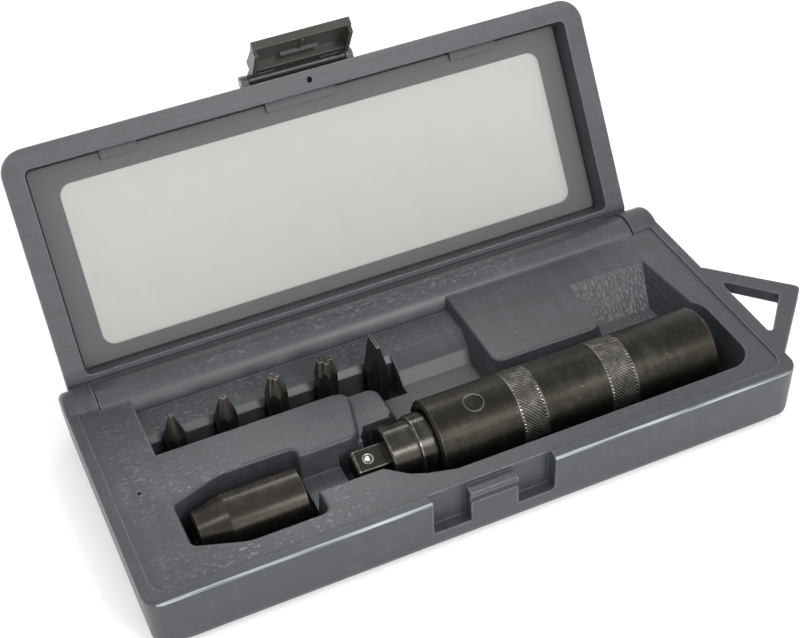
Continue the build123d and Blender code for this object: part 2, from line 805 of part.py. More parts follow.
with BuildPart() as lid_frame:
    with BuildSketch(lid_plane.offset(lid_rim_h)) as lid_outline:
        with BuildLine():
            Polyline(
                *box_outline(-lid_half_length, lid_half_length, lid_front_v, -lid_back_from_axis),
                close=True,
            )
        make_face()
        fillet(lid_outline.vertices().group_by(Axis.Y)[0], radius=lid_corner_radius)
        fillet(lid_outline.vertices().group_by(Axis.Y)[-1], radius=lid_rear_corner_radius)
    extrude(amount=lid_height, taper=lid_draft)
    lid_axis = Axis((0, hinge_y, hinge_z), lid_up)
    fillet(lid_frame.faces().sort_by(lid_axis)[-1].edges(), radius=lid_top_round)
    # Barrel and the slope that joins it to the lid's back
    crease_h = lid_rim_h + crease_step
    shoulder_h = lid_top_h - lid_top_round
    shoulder_v = -lid_back_from_axis - lid_top_round
    shoulder_reach = math.hypot(shoulder_v, shoulder_h)
    touch_turn = math.atan2(shoulder_h, shoulder_v) - math.acos(barrel_radius / shoulder_reach)
    with BuildSketch(lid_side) as barrel_profile:
        Circle(barrel_radius)
        with BuildLine():
            Polyline(
                (-crease_from_axis, crease_h),
                (-math.sqrt(barrel_radius**2 - crease_h**2), crease_h),
                (0, 0),
                (barrel_radius * math.cos(touch_turn), barrel_radius * math.sin(touch_turn)),
                (shoulder_v, shoulder_h),
                (-crease_from_axis, shoulder_h),
                close=True,
            )
        make_face()
    extrude(amount=barrel_half_length, both=True)
    # Rim step in front of the barrel, and clearance round the base lugs
    with BuildSketch(lid_side) as rim_step:
        with BuildLine():
            Polyline(
                *box_outline(-crease_from_axis, 0, lid_rim_h - overrun, crease_h),
                close=True,
            )
        make_face()
        Circle(barrel_radius, mode=Mode.SUBTRACT)
    extrude(amount=lid_half_length, both=True, mode=Mode.SUBTRACT)
    for side in (-1, 1):
        with BuildSketch(lid_side.offset(side * barrel_half_length)):
            Circle(lug_radius + lid_lug_gap)
        extrude(amount=side * lug_length, mode=Mode.SUBTRACT)
    # Cavity with the seat of the window sheet at its bottom
    with BuildSketch(lid_plane.offset(lid_rim_h)) as cavity_outline:
        with BuildLine():
            Polyline(
                *box_outline(-cavity_half_length, cavity_half_length, cavity_front_v, cavity_back_v),
                close=True,
            )
        make_face()
        fillet(cavity_outline.vertices(), radius=cavity_corner_radius)
    extrude(amount=sheet_depth + sheet_thickness, taper=cavity_draft, mode=Mode.SUBTRACT)
    # Window
    with BuildSketch(lid_plane.offset(lid_rim_h)) as window_outline:
        with BuildLine():
            Polyline(
                *box_outline(-window_half_length, window_half_length, window_front_v, window_back_v),
                close=True,
            )
        make_face()
        fillet(window_outline.vertices(), radius=window_corner_radius)
    extrude(amount=lid_height + overrun, mode=Mode.SUBTRACT)
    # Tabs that hold the sheet along the front
    tab_top_h = sheet_depth - tab_gap
    tab_x_places = (tab_left_inset - lid_half_length, tab_middle_x, lid_half_length - tab_right_inset)
    with BuildSketch(lid_plane.offset(lid_rim_h + tab_top_h - tab_height)):
        for tab_x, tab_length in zip(tab_x_places, tab_lengths):
            with Locations((tab_x, cavity_front_v + tab_reach / 2)):
                Rectangle(tab_length, tab_reach)
            with Locations((tab_x, cavity_front_v)):
                Rectangle(tab_length, sheet_side_gap)
    extrude(amount=tab_height)
    # Small blind hole in the front rim
    with BuildSketch(lid_plane.offset(lid_rim_h)):
        with Locations((lid_hole_x, lid_front_v + lid_hole_inset)):
            Circle(lid_hole_radius)
    extrude(amount=lid_hole_depth, mode=Mode.SUBTRACT)
    # Latch lugs, the hollow behind the latch barrel and the pin holes
    for side in (-1, 1):
        with BuildSketch(lid_side.offset(side * (latch_half + latch_side_gap))):
            with Locations((pivot_v, pivot_h)):
                Circle(latch_lug_radius)
            lug_web = latch_pivot_out + latch_lug_radius
            with Locations((pivot_v + lug_web / 2, pivot_h)):
                Rectangle(lug_web, 2 * latch_lug_radius)
        extrude(amount=side * latch_lug_width)
    with BuildSketch(lid_side):
        with Locations((pivot_v, pivot_h)):
            Circle(latch_barrel_radius + latch_barrel_gap)
    extrude(amount=latch_half + latch_side_gap, both=True, mode=Mode.SUBTRACT)
    with BuildSketch(lid_side):
        with Locations((pivot_v, pivot_h)):
            Circle(latch_pin_radius + slide_fit)
    extrude(amount=latch_half + latch_side_gap + latch_lug_width + overrun, both=True, mode=Mode.SUBTRACT)
    # Bores for the hinge pins
    for side in (-1, 1):
        with BuildSketch(lid_side.offset(side * barrel_half_length)):
            Circle(hinge_pin_radius + slide_fit)
        extrude(amount=-side * (hinge_pin_reach + overrun), mode=Mode.SUBTRACT)
lid_frame.part.label = "lid_frame"
export_step(lid_frame.part, "parts/lid_frame.step")

# Window sheet
with BuildPart() as window_sheet:
    with BuildSketch(lid_plane.offset(lid_rim_h + sheet_depth)) as sheet_outline:
        with BuildLine():
            Polyline(
                *box_outline(-sheet_half_length, sheet_half_length, sheet_front_v, sheet_back_v),
                close=True,
            )
        make_face()
        fillet(sheet_outline.vertices(), radius=sheet_corner_radius)
    extrude(amount=sheet_thickness)
window_sheet.part.label = "window_sheet"
export_step(window_sheet.part, "parts/window_sheet.step")

# Latch, hanging down the base front when closed and swung up at rest
latch_turn = math.radians(open_angle + latch_rest_angle)
pivot_y = hinge_y + pivot_v * math.cos(lid_turn) + pivot_h * math.sin(lid_turn)
pivot_z = hinge_z - pivot_v * math.sin(lid_turn) + pivot_h * math.cos(lid_turn)
latch_side = Plane(
    origin=(0, pivot_y, pivot_z),
    x_dir=(0, math.cos(latch_turn), -math.sin(latch_turn)),
    z_dir=(1, 0, 0),
)
latch_face = Plane(
    origin=(0, pivot_y, pivot_z),
    x_dir=(1, 0, 0),
    z_dir=(0, -math.cos(latch_turn), math.sin(latch_turn)),
)
flange_back = latch_barrel_radius
plate_inner = latch_plate_out - latch_plate
shoulder_low = latch_neck + latch_shoulder
wall_low = latch_length - latch_wall_end_gap
with BuildPart() as latch:
    # Barrel, flange, shoulder, plate and the flared finger lip in one profile
    with BuildSketch(latch_side):
        Circle(latch_barrel_radius)
        with BuildLine():
            Polyline(
                (-flange_back, 0),
                (latch_flange - flange_back, 0),
                (latch_flange - flange_back, -shoulder_low),
                (-plate_inner, -shoulder_low),
                (-plate_inner, -latch_length),
                (-latch_plate_out - latch_flare, -latch_length),
                (-latch_plate_out, latch_flare_length - latch_length),
                (-latch_plate_out, -latch_neck),
                (-flange_back, -latch_neck),
                close=True,
            )
        make_face()
    extrude(amount=latch_half, both=True)
    # End walls of the cap
    for side in (-1, 1):
        with BuildSketch(latch_side.offset(side * latch_half)):
            with BuildLine():
                Polyline(
                    (-plate_inner, -latch_neck),
                    (latch_wall_depth - plate_inner, -latch_neck),
                    (latch_wall_depth - plate_inner, -shoulder_low),
                    (latch_wall_low_depth - plate_inner, -wall_low),
                    (-plate_inner, -wall_low),
                    close=True,
                )
            make_face()
        extrude(amount=-side * latch_wall)
    # Middle rib and the hook that drops into the boss
    with BuildSketch(latch_side):
        with BuildLine():
            Polyline(
                *box_outline(-plate_inner, latch_rib_height - plate_inner, -wall_low, -shoulder_low),
                close=True,
            )
        make_face()
    extrude(amount=latch_rib_width / 2, both=True)
    with BuildSketch(latch_side):
        with BuildLine():
            Polyline(
                (-plate_inner, -latch_hook_drop),
                (latch_hook_reach - plate_inner, -latch_hook_drop),
                (latch_hook_reach - plate_inner, -latch_hook_drop - latch_hook_height / 2),
                (-plate_inner, -latch_hook_drop - latch_hook_height),
                close=True,
            )
        make_face()
    extrude(amount=latch_hook_width / 2, both=True)
    # Two slits through the flange and the pin hole
    slit_drop = latch_neck - latch_slot_height
    with BuildSketch(latch_side):
        with Locations((latch_flange / 2 - flange_back, -slit_drop)):
            Rectangle(latch_flange + overrun, latch_slot_height)
    slit_inner = latch_slot_out - latch_slot_width / 2
    extrude(amount=slit_inner + latch_slot_width, both=True, mode=Mode.SUBTRACT)
    with BuildSketch(latch_side):
        with Locations((latch_flange / 2 - flange_back, -slit_drop)):
            Rectangle(latch_flange, latch_slot_height)
    extrude(amount=slit_inner, both=True)
    with BuildSketch(latch_side):
        Circle(latch_pin_radius + slide_fit)
    extrude(amount=latch_half, both=True, mode=Mode.SUBTRACT)
latch.part.label = "latch"
export_step(latch.part, "parts/latch.step")

# Latch pin, through both lugs
with BuildPart() as latch_pin:
    with BuildSketch(latch_side):
        Circle(latch_pin_radius)
    extrude(amount=latch_half + latch_side_gap + latch_lug_width, both=True)
latch_pin.part.label = "latch_pin"
export_step(latch_pin.part, "parts/latch_pin.step")

# Driver body: a turned sleeve, closed behind the spring
driver_axis = Axis((0, driver_y, driver_z), (1, 0, 0))
driver_half = Plane(origin=(0, driver_y, driver_z), x_dir=(1, 0, 0), z_dir=(0, -1, 0))
bush_front_x = body_front_x + bush_inset
bush_rear_x = bush_front_x + bush_length
seal_x = bush_rear_x + seal_behind_bush
seal_mean_radius = shank_radius + slide_fit + seal_wire_radius
bore_radius = shank_radius + slide_fit
pin_lean = math.radians(pin_turn)
pin_plane = Plane(origin=(pin_x, driver_y, driver_z), z_dir=(0, -math.sin(pin_lean), math.cos(pin_lean)))
with BuildPart() as driver_body:
    with BuildSketch(driver_half) as body_profile:
        with BuildLine():
            Polyline(*box_outline(body_front_x, body_rear_x, 0, body_radius), close=True)
        make_face()
        top_corners = body_profile.vertices().group_by(Axis.Y)[-1].sort_by(Axis.X)
        chamfer(top_corners[0], length=body_front_chamfer)
        top_corners = body_profile.vertices().group_by(Axis.Y)[-1].sort_by(Axis.X)
        chamfer(top_corners[-1], length=body_rear_chamfer)
        with BuildLine():
            Polyline(*box_outline(body_front_x, bore_end_x, 0, bore_radius), close=True)
        make_face(mode=Mode.SUBTRACT)
        with BuildLine():
            Polyline(*box_outline(body_front_x, bush_rear_x, 0, bush_radius + slide_fit), close=True)
        make_face(mode=Mode.SUBTRACT)
        ring_front_x = bush_front_x - ring_width
        with BuildLine():
            Polyline(
                *box_outline(ring_front_x - slide_fit, bush_front_x, 0, bush_radius + ring_cover),
                close=True,
            )
        make_face(mode=Mode.SUBTRACT)
        with Locations((seal_x, seal_mean_radius)):
            Circle(seal_wire_radius + slide_fit, mode=Mode.SUBTRACT)
        for knurl_x, knurl_length in zip(knurl_x_places, knurl_lengths):
            with Locations((knurl_x + knurl_length / 2, body_radius)):
                Rectangle(knurl_length, 2 * knurl_depth, mode=Mode.SUBTRACT)
    revolve(axis=driver_axis)
    # Cross hole for the pin
    with BuildSketch(pin_plane):
        Circle(pin_radius + slide_fit)
    extrude(amount=body_radius + overrun, both=True, mode=Mode.SUBTRACT)
driver_body.part.label = "driver_body"
export_step(driver_body.part, "parts/driver_body.step")

# Cross pin
with BuildPart() as cross_pin:
    with BuildSketch(pin_plane):
        Circle(pin_radius)
    extrude(amount=body_radius - pin_sink, both=True)
    chamfer(cross_pin.edges().filter_by(GeomType.CIRCLE), length=pin_chamfer)
cross_pin.part.label = "cross_pin"
export_step(cross_pin.part, "parts/cross_pin.step")

# Front bush, its snap ring and the seal behind it
with BuildPart() as front_bush:
    with BuildSketch(driver_half):
        with BuildLine():
            Polyline(*box_outline(bush_front_x, bush_rear_x, bore_radius, bush_radius), close=True)
        make_face()
    revolve(axis=driver_axis)
front_bush.part.label = "front_bush"
export_step(front_bush.part, "parts/front_bush.step")

ring_outer = bush_radius + ring_cover - slide_fit
with BuildPart() as retaining_ring:
    with BuildSketch(driver_half):
        with BuildLine():
            Polyline(
                *box_outline(ring_front_x, bush_front_x, ring_outer - ring_radial, ring_outer),
                close=True,
            )
        make_face()
    revolve(axis=driver_axis, revolution_arc=360 - ring_gap_angle)
retaining_ring.part.label = "retaining_ring"
export_step(retaining_ring.part, "parts/retaining_ring.step")

with BuildPart() as spindle_seal:
    with BuildSketch(driver_half):
        with Locations((seal_x, seal_mean_radius)):
            Circle(seal_wire_radius)
    revolve(axis=driver_axis)
spindle_seal.part.label = "spindle_seal"
export_step(spindle_seal.part, "parts/spindle_seal.step")

# Spindle: shank with the cam window, nose and square drive
face_turn = math.radians(drive_turn)
face_normal = (0, -math.sin(face_turn), math.cos(face_turn))
drive_plane = Plane(origin=(nose_front_x, driver_y, driver_z), x_dir=face_normal, z_dir=(-1, 0, 0))
ball_x = drive_tip_x + ball_from_tip
ball_centre_height = drive_size / 2 + ball_proud - ball_radius
ball_plane = Plane(origin=(ball_x, driver_y, driver_z), z_dir=face_normal)
with BuildPart() as cam_spindle:
    with BuildSketch(driver_half) as spindle_profile:
        with BuildLine():
            Polyline(*box_outline(shank_front_x, shank_rear_x, 0, shank_radius), close=True)
        make_face()
        chamfer(spindle_profile.vertices().group_by(Axis.Y)[-1], length=shank_chamfer)
        with BuildLine():
            Polyline(*box_outline(nose_front_x, shank_front_x, 0, nose_radius), close=True)
        make_face()
        nose_corner = spindle_profile.vertices().group_by(Axis.X)[0].sort_by(Axis.Y)[-1]
        fillet(nose_corner, radius=nose_round)
    revolve(axis=driver_axis)
    with BuildSketch(drive_plane):
        RectangleRounded(drive_size, drive_size, drive_corner_radius)
    extrude(amount=nose_front_x - drive_tip_x)
    chamfer(cam_spindle.faces().sort_by(Axis.X)[0].edges(), length=drive_chamfer)
    # Window in the shank: the pin's own path as the spindle runs in and turns
    for side in (-1, 1):
        for step in range(cam_steps + 1):
            step_share = step / cam_steps
            step_turn = pin_lean + math.radians(side * cam_turn * step_share)
            step_plane = Plane(
                origin=(pin_x - stroke * step_share, driver_y, driver_z),
                z_dir=(0, -math.sin(step_turn), math.cos(step_turn)),
            )
            with BuildSketch(step_plane):
                Circle(pin_radius + cam_clearance)
            extrude(amount=shank_radius + overrun, both=True, mode=Mode.SUBTRACT)
    # Detent bore in one face of the square
    with BuildSketch(ball_plane.offset(drive_size / 2 + overrun)):
        Circle(ball_radius + slide_fit)
    extrude(amount=-ball_bore_depth - overrun, mode=Mode.SUBTRACT)
cam_spindle.part.label = "cam_spindle"
export_step(cam_spindle.part, "parts/cam_spindle.step")

# Detent ball
with BuildPart() as detent_ball:
    with Locations(ball_plane.offset(ball_centre_height)):
        Sphere(ball_radius)
detent_ball.part.label = "detent_ball"
export_step(detent_ball.part, "parts/detent_ball.step")

# Thrust washer
washer_rear_x = shank_rear_x + washer_thickness
with BuildPart() as thrust_washer:
    with BuildSketch(driver_half):
        with BuildLine():
            Polyline(
                *box_outline(shank_rear_x, washer_rear_x, washer_bore_radius, washer_radius),
                close=True,
            )
        make_face()
    revolve(axis=driver_axis)
thrust_washer.part.label = "thrust_washer"
export_step(thrust_washer.part, "parts/thrust_washer.step")


def least_gap(curve, turns, wire):
    """Least clear distance between a coil's turns, measured on points along it."""
    per_turn = 24
    count = round(turns * per_turn)
    points = [curve @ (index / count) for index in range(count + 1)]
    distances = [
        (points[low] - points[high]).length
        for low in range(count + 1)
        for high in range(low + per_turn // 2, count + 1)
    ]
    return min(distances) - wire


# Return spring between the washer and the bore's end
spring_front_x = washer_rear_x
with BuildPart() as return_spring:
    spring_height = bore_end_x - spring_front_x - spring_wire
    with BuildLine() as spring_line:
        Helix(
            pitch=spring_height / spring_turns,
            height=spring_height,
            radius=spring_mean_radius,
            center=(spring_front_x + spring_wire / 2, driver_y, driver_z),
            direction=(1, 0, 0),
        )
    with BuildSketch(Plane(origin=spring_line.line @ 0, z_dir=spring_line.line % 0)):
        Circle(spring_wire / 2)
    sweep(path=spring_line.line, is_frenet=True)
return_spring.part.label = "return_spring"
export_step(return_spring.part, "parts/return_spring.step")
print("return spring least gap", round(least_gap(spring_line.line, spring_turns, spring_wire), 2))

# Detent spring behind the ball
with BuildPart() as detent_spring:
    detent_bottom = drive_size / 2 - ball_bore_depth
    detent_top = ball_centre_height - ball_radius
    detent_height = detent_top - detent_bottom - detent_wire
    detent_base = ball_plane.offset(detent_bottom + detent_wire / 2)
    with BuildLine() as detent_line:
        Helix(
            pitch=detent_height / detent_turns,
            height=detent_height,
            radius=detent_mean_radius,
            center=tuple(detent_base.origin),
            direction=face_normal,
        )
    with BuildSketch(Plane(origin=detent_line.line @ 0, z_dir=detent_line.line % 0)):
        Circle(detent_wire / 2)
    sweep(path=detent_line.line, is_frenet=True)
detent_spring.part.label = "detent_spring"
export_step(detent_spring.part, "parts/detent_spring.step")
print("detent spring least gap", round(least_gap(detent_line.line, detent_turns, detent_wire), 2))

# Bit holder: square socket behind, hexagon socket in the tapered nose
holder_axis = Axis((0, holder_y, holder_z), (1, 0, 0))
holder_half = Plane(origin=(0, holder_y, holder_z), x_dir=(1, 0, 0), z_dir=(0, -1, 0))
hex_flats = bit_flats + 2 * holder_hex_clearance
hex_corner_radius = hex_flats / 2 / math.cos(math.pi / 6)
clip_groove_radius = hex_corner_radius + clip_radial - clip_bite
clip_x = holder_nose_x + clip_from_nose
with BuildPart() as bit_holder:
    with BuildSketch(holder_half) as holder_profile:
        with BuildLine():
            Polyline(
                (holder_rear_x, 0),
                (holder_rear_x, holder_radius),
                (holder_shoulder_x, holder_radius),
                (holder_nose_x, holder_nose_radius),
                (holder_nose_x, 0),
                close=True,
            )
        make_face()
        chamfer(holder_profile.vertices().sort_by(Axis.Y)[-2:].sort_by(Axis.X)[-1], length=holder_chamfer)
        nose_corner = holder_profile.vertices().group_by(Axis.X)[0].sort_by(Axis.Y)[-1]
        chamfer(nose_corner, length=holder_chamfer)
    revolve(axis=holder_axis)
    holder_rear = Plane(origin=(holder_rear_x, holder_y, holder_z), x_dir=(0, 1, 0), z_dir=(1, 0, 0))
    with BuildSketch(holder_rear):
        square_socket = drive_size + 2 * holder_square_clearance
        RectangleRounded(square_socket, square_socket, drive_corner_radius)
    extrude(amount=-holder_square_depth, mode=Mode.SUBTRACT)
    holder_nose = Plane(origin=(holder_nose_x, holder_y, holder_z), x_dir=(0, 1, 0), z_dir=(-1, 0, 0))
    with BuildSketch(holder_nose):
        RegularPolygon(radius=hex_corner_radius, side_count=6)
    extrude(amount=-holder_hex_depth, mode=Mode.SUBTRACT)
    with BuildSketch(holder_half):
        with BuildLine():
            Polyline(
                *box_outline(clip_x - slide_fit, clip_x + clip_width + slide_fit, 0, clip_groove_radius),
                close=True,
            )
        make_face()
    revolve(axis=holder_axis, mode=Mode.SUBTRACT)
bit_holder.part.label = "bit_holder"
export_step(bit_holder.part, "parts/bit_holder.step")

# Spring ring in the hexagon socket
clip_outer = clip_groove_radius - slide_fit
with BuildPart() as bit_ring:
    with BuildSketch(holder_half):
        with BuildLine():
            Polyline(
                *box_outline(clip_x, clip_x + clip_width, clip_outer - clip_radial, clip_outer),
                close=True,
            )
        make_face()
    revolve(axis=holder_axis, revolution_arc=360 - clip_gap_angle)
bit_ring.part.label = "bit_ring"
export_step(bit_ring.part, "parts/bit_ring.step")

# Bits, upright on the trough floor
bit_corner_radius = bit_flats / 2 / math.cos(math.pi / 6)


def bit_blank(place_x, height, turned_outline):
    """Hexagon bar turned to an outline of radius and height over its foot."""
    with BuildPart() as blank:
        with BuildSketch(Plane.XY.offset(bit_floor)):
            with Locations((place_x, bit_y)):
                RegularPolygon(radius=bit_corner_radius, side_count=6, rotation=90)
        extrude(amount=height)
        with BuildSketch(Plane(origin=(place_x, bit_y, bit_floor), x_dir=(1, 0, 0), z_dir=(0, -1, 0))):
            with BuildLine():
                Polyline(*turned_outline, close=True)
            make_face()
        revolve(axis=Axis((place_x, bit_y, bit_floor), (0, 0, 1)), mode=Mode.INTERSECT)
    return blank.part


foot_radius = bit_corner_radius - bit_foot_chamfer
for index, bit_name in enumerate(cross_names):
    height = cross_heights[index]
    tip_radius = cross_tip_radii[index]
    tip_length = cross_tip_lengths[index]
    outline = [
        (0, 0),
        (foot_radius, 0),
        (bit_corner_radius, bit_foot_chamfer),
        (bit_corner_radius, height - tip_length),
        (tip_radius, height),
        (0, height),
    ]
    with BuildPart() as bit:
        add(bit_blank(bit_x_places[index], height, outline))
        # Flutes running out along the cone
        slope = math.radians(flute_slope)
        half_opening = math.radians(flute_opening)
        core_radius = tip_radius * cross_core_shares[index]
        flute_width = bit_corner_radius * math.tan(half_opening)
        flute_length = (bit_corner_radius - core_radius) / math.sin(slope)
        for flute in range(flute_count):
            turn = 2 * math.pi * (flute + 0.5) / flute_count
            out = (math.cos(turn), math.sin(turn))
            start = (
                bit_x_places[index] + core_radius * out[0],
                bit_y + core_radius * out[1],
                bit_floor + height,
            )
            down = (math.sin(slope) * out[0], math.sin(slope) * out[1], -math.cos(slope))
            across = (math.cos(slope) * out[0], math.cos(slope) * out[1], math.sin(slope))
            flute_plane = Plane(origin=start, x_dir=across, z_dir=down)
            with BuildSketch(flute_plane):
                with BuildLine():
                    Polyline(
                        (0, 0),
                        (bit_corner_radius, flute_width),
                        (bit_corner_radius, -flute_width),
                        close=True,
                    )
                make_face()
            extrude(amount=flute_length, both=True, mode=Mode.SUBTRACT)
    bit.part.label = bit_name
    export_step(bit.part, f"parts/{bit_name}.step")

flat_x = bit_x_places[-1]
with BuildPart() as bit_flat:
    add(
        bit_blank(
            flat_x,
            flat_height,
            [
                (0, 0),
                (foot_radius, 0),
                (bit_corner_radius, bit_foot_chamfer),
                (bit_corner_radius, flat_height),
                (0, flat_height),
            ],
        )
    )
    # Blade ground from both sides
    with BuildSketch(Plane(origin=(flat_x, bit_y, bit_floor), x_dir=(1, 0, 0), z_dir=(0, -1, 0))):
        with BuildLine():
            Polyline(
                (-bit_corner_radius, 0),
                (bit_corner_radius, 0),
                (bit_flats / 2, flat_height - flat_tip_length),
                (flat_tip_thickness / 2, flat_height),
                (-flat_tip_thickness / 2, flat_height),
                (-bit_flats / 2, flat_height - flat_tip_length),
                close=True,
            )
        make_face()
    extrude(amount=bit_flats, both=True, mode=Mode.INTERSECT)
bit_flat.part.label = "bit_flat"
export_step(bit_flat.part, "parts/bit_flat.step")
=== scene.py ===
"""Looks of a hand impact driver set lying in its moulded carrying case."""
import logging
import math
from dataclasses import dataclass, field
from enum import Enum
from typing import Sequence

import bmesh
import bpy
from mathutils import Matrix, Vector

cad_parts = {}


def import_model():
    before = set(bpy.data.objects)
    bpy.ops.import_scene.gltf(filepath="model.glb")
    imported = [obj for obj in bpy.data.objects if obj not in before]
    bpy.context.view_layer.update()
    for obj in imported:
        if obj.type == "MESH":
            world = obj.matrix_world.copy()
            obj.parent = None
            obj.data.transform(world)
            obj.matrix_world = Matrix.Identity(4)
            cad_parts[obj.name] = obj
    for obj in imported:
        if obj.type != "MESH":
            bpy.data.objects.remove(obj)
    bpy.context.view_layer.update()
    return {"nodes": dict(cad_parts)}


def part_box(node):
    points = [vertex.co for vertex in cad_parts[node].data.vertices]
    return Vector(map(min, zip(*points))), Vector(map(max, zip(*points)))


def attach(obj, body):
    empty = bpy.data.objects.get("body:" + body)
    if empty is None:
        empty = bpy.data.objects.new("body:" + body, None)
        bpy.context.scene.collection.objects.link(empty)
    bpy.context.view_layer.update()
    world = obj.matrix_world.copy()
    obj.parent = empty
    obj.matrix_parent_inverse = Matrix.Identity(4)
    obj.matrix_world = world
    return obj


MM = 0.001
LOG = logging.getLogger("impact_driver_set")
Colour = tuple[float, float, float]
Place = tuple[float, float, float]
Socket = bpy.types.NodeSocket


def rgba(colour: Colour) -> tuple[float, float, float, float]:
    """Return a colour with a full alpha behind it."""
    return (*colour, 1.0)


class Wiring:
    """Adds nodes to one node tree and joins them.

    Args:
        tree: the material's or the group's node tree.
    """

    def __init__(self, tree: bpy.types.NodeTree) -> None:
        """Keep the tree that the nodes go into."""
        self.tree = tree

    def node(self, kind: str, **settings: object) -> bpy.types.Node:
        """Add one node.

        Args:
            kind: the node's type name without its ShaderNode start.
            settings: properties of the node by name.

        Returns:
            The new node.
        """
        made = self.tree.nodes.new("ShaderNode" + kind)
        for name, value in settings.items():
            setattr(made, name, value)
        return made

    def feed(self, node: bpy.types.Node, **values: object) -> bpy.types.Node:
        """Set or link a node's inputs by name.

        Args:
            node: the node whose inputs are meant.
            values: input name with underscores for spaces, and a value or a socket.

        Returns:
            The same node.
        """
        for name, value in values.items():
            target = node.inputs[name.replace("_", " ")]
            if isinstance(value, Socket):
                self.tree.links.new(value, target)
            else:
                target.default_value = value
        return node

    def math(self, operation: str, first: object, second: object = None, clamp: bool = False) -> Socket:
        """Add a Math node.

        Args:
            operation: the name of its operation.
            first: the first value or socket.
            second: the second value or socket, if the operation has one.
            clamp: whether the result is kept between 0 and 1.

        Returns:
            The node's output.
        """
        made = self.node("Math", operation=operation, use_clamp=clamp)
        for index, value in enumerate((first, second)):
            if isinstance(value, Socket):
                self.tree.links.new(value, made.inputs[index])
            elif value is not None:
                made.inputs[index].default_value = value
        return made.outputs[0]

    def remap(self, value: Socket, low: object, high: float, start: float = 0.0, end: float = 1.0) -> Socket:
        """Stretch a value's range to another, held at both ends.

        Args:
            value: the value that is stretched.
            low: the value, or a socket with it, that becomes start.
            high: the value that becomes end.
            start: the result at low.
            end: the result at high.

        Returns:
            The stretched value.
        """
        made = self.node("MapRange", clamp=True)
        self.feed(made, Value=value, From_Min=low, From_Max=high, To_Min=start, To_Max=end)
        return made.outputs["Result"]

    def mix(self, share: object, first: object, second: object) -> Socket:
        """Mix two colours.

        Args:
            share: the second colour's share, as a value or a socket.
            first: a colour or a socket.
            second: a colour or a socket.

        Returns:
            The mixed colour.
        """
        made = self.node("Mix", data_type="RGBA")
        factor, first_colour, second_colour = 0, 6, 7
        for index, value in ((factor, share), (first_colour, first), (second_colour, second)):
            if isinstance(value, Socket):
                self.tree.links.new(value, made.inputs[index])
            else:
                made.inputs[index].default_value = value if index == factor else rgba(value)
        return made.outputs[2]

    def scaled(self, vector: object, scale: object) -> Socket:
        """Scale a vector or a colour.

        Args:
            vector: a vector, a colour or a socket with one.
            scale: the factor, or a socket with it.

        Returns:
            The scaled vector.
        """
        made = self.node("VectorMath", operation="SCALE")
        for target, value in ((made.inputs[0], vector), (made.inputs["Scale"], scale)):
            if isinstance(value, Socket):
                self.tree.links.new(value, target)
            else:
                target.default_value = value
        return made.outputs[0]

    def group(self, tree: bpy.types.NodeTree, **values: object) -> bpy.types.Node:
        """Place a node group and set its inputs."""
        return self.feed(self.node("Group", node_tree=tree), **values)

    def stretched(self, scale: Sequence[float], turn: Sequence[float] = (0, 0, 0)) -> Socket:
        """Scale the piece's own coordinates and then turn them.

        Args:
            scale: the scale along each axis.
            turn: the turn about each axis, in radians.

        Returns:
            The coordinates.
        """
        place = self.node("TexCoord")
        mapping = self.node("Mapping")
        self.feed(mapping, Vector=place.outputs["Object"], Rotation=tuple(turn), Scale=tuple(scale))
        return mapping.outputs["Vector"]

    def place(self) -> dict[str, Socket]:
        """Split the piece's own coordinates.

        Returns:
            The coordinates by axis.
        """
        split = self.node("SeparateXYZ")
        self.feed(split, Vector=self.node("TexCoord").outputs["Object"])
        return {axis: split.outputs[axis] for axis in "XYZ"}

    def raised(self, height: object, normal: Socket | None = None) -> Socket:
        """Lay a height on the surface.

        Args:
            height: the height in metres.
            normal: the normal to start from, if not the surface's own.

        Returns:
            The new normal.
        """
        bump = self.node("Bump")
        self.feed(bump, Strength=1.0, Distance=1.0, Height=height)
        if normal is not None:
            self.feed(bump, Normal=normal)
        return bump.outputs["Normal"]

    def soft_corner(self, radius: float) -> Socket:
        """Return the surface normal with its corners rounded to a radius."""
        bevel = self.node("Bevel", samples=6)
        return self.feed(bevel, Radius=radius).outputs["Normal"]


@dataclass(frozen=True)
class LidWindow:
    """The open lid's window, in metres, measured along the lid from its hinge.

    Args:
        open_angle: how far the lid stands open, in radians.
        hinge_y: the hinge's place across the case.
        hinge_z: the hinge's height.
        centre: the window's centre, measured from the hinge.
        half_width: half of its width.
        half_height: half of its height.
        corner: its corner radius.
        blur: the half width of its soft edge.
    """

    open_angle: float = math.radians(120.3)
    hinge_y: float = 49.2 * MM
    hinge_z: float = 16.8 * MM
    centre: float = 53.55 * MM
    half_width: float = 105.1 * MM
    half_height: float = 33.05 * MM
    corner: float = 5.0 * MM
    blur: float = 0.2 * MM


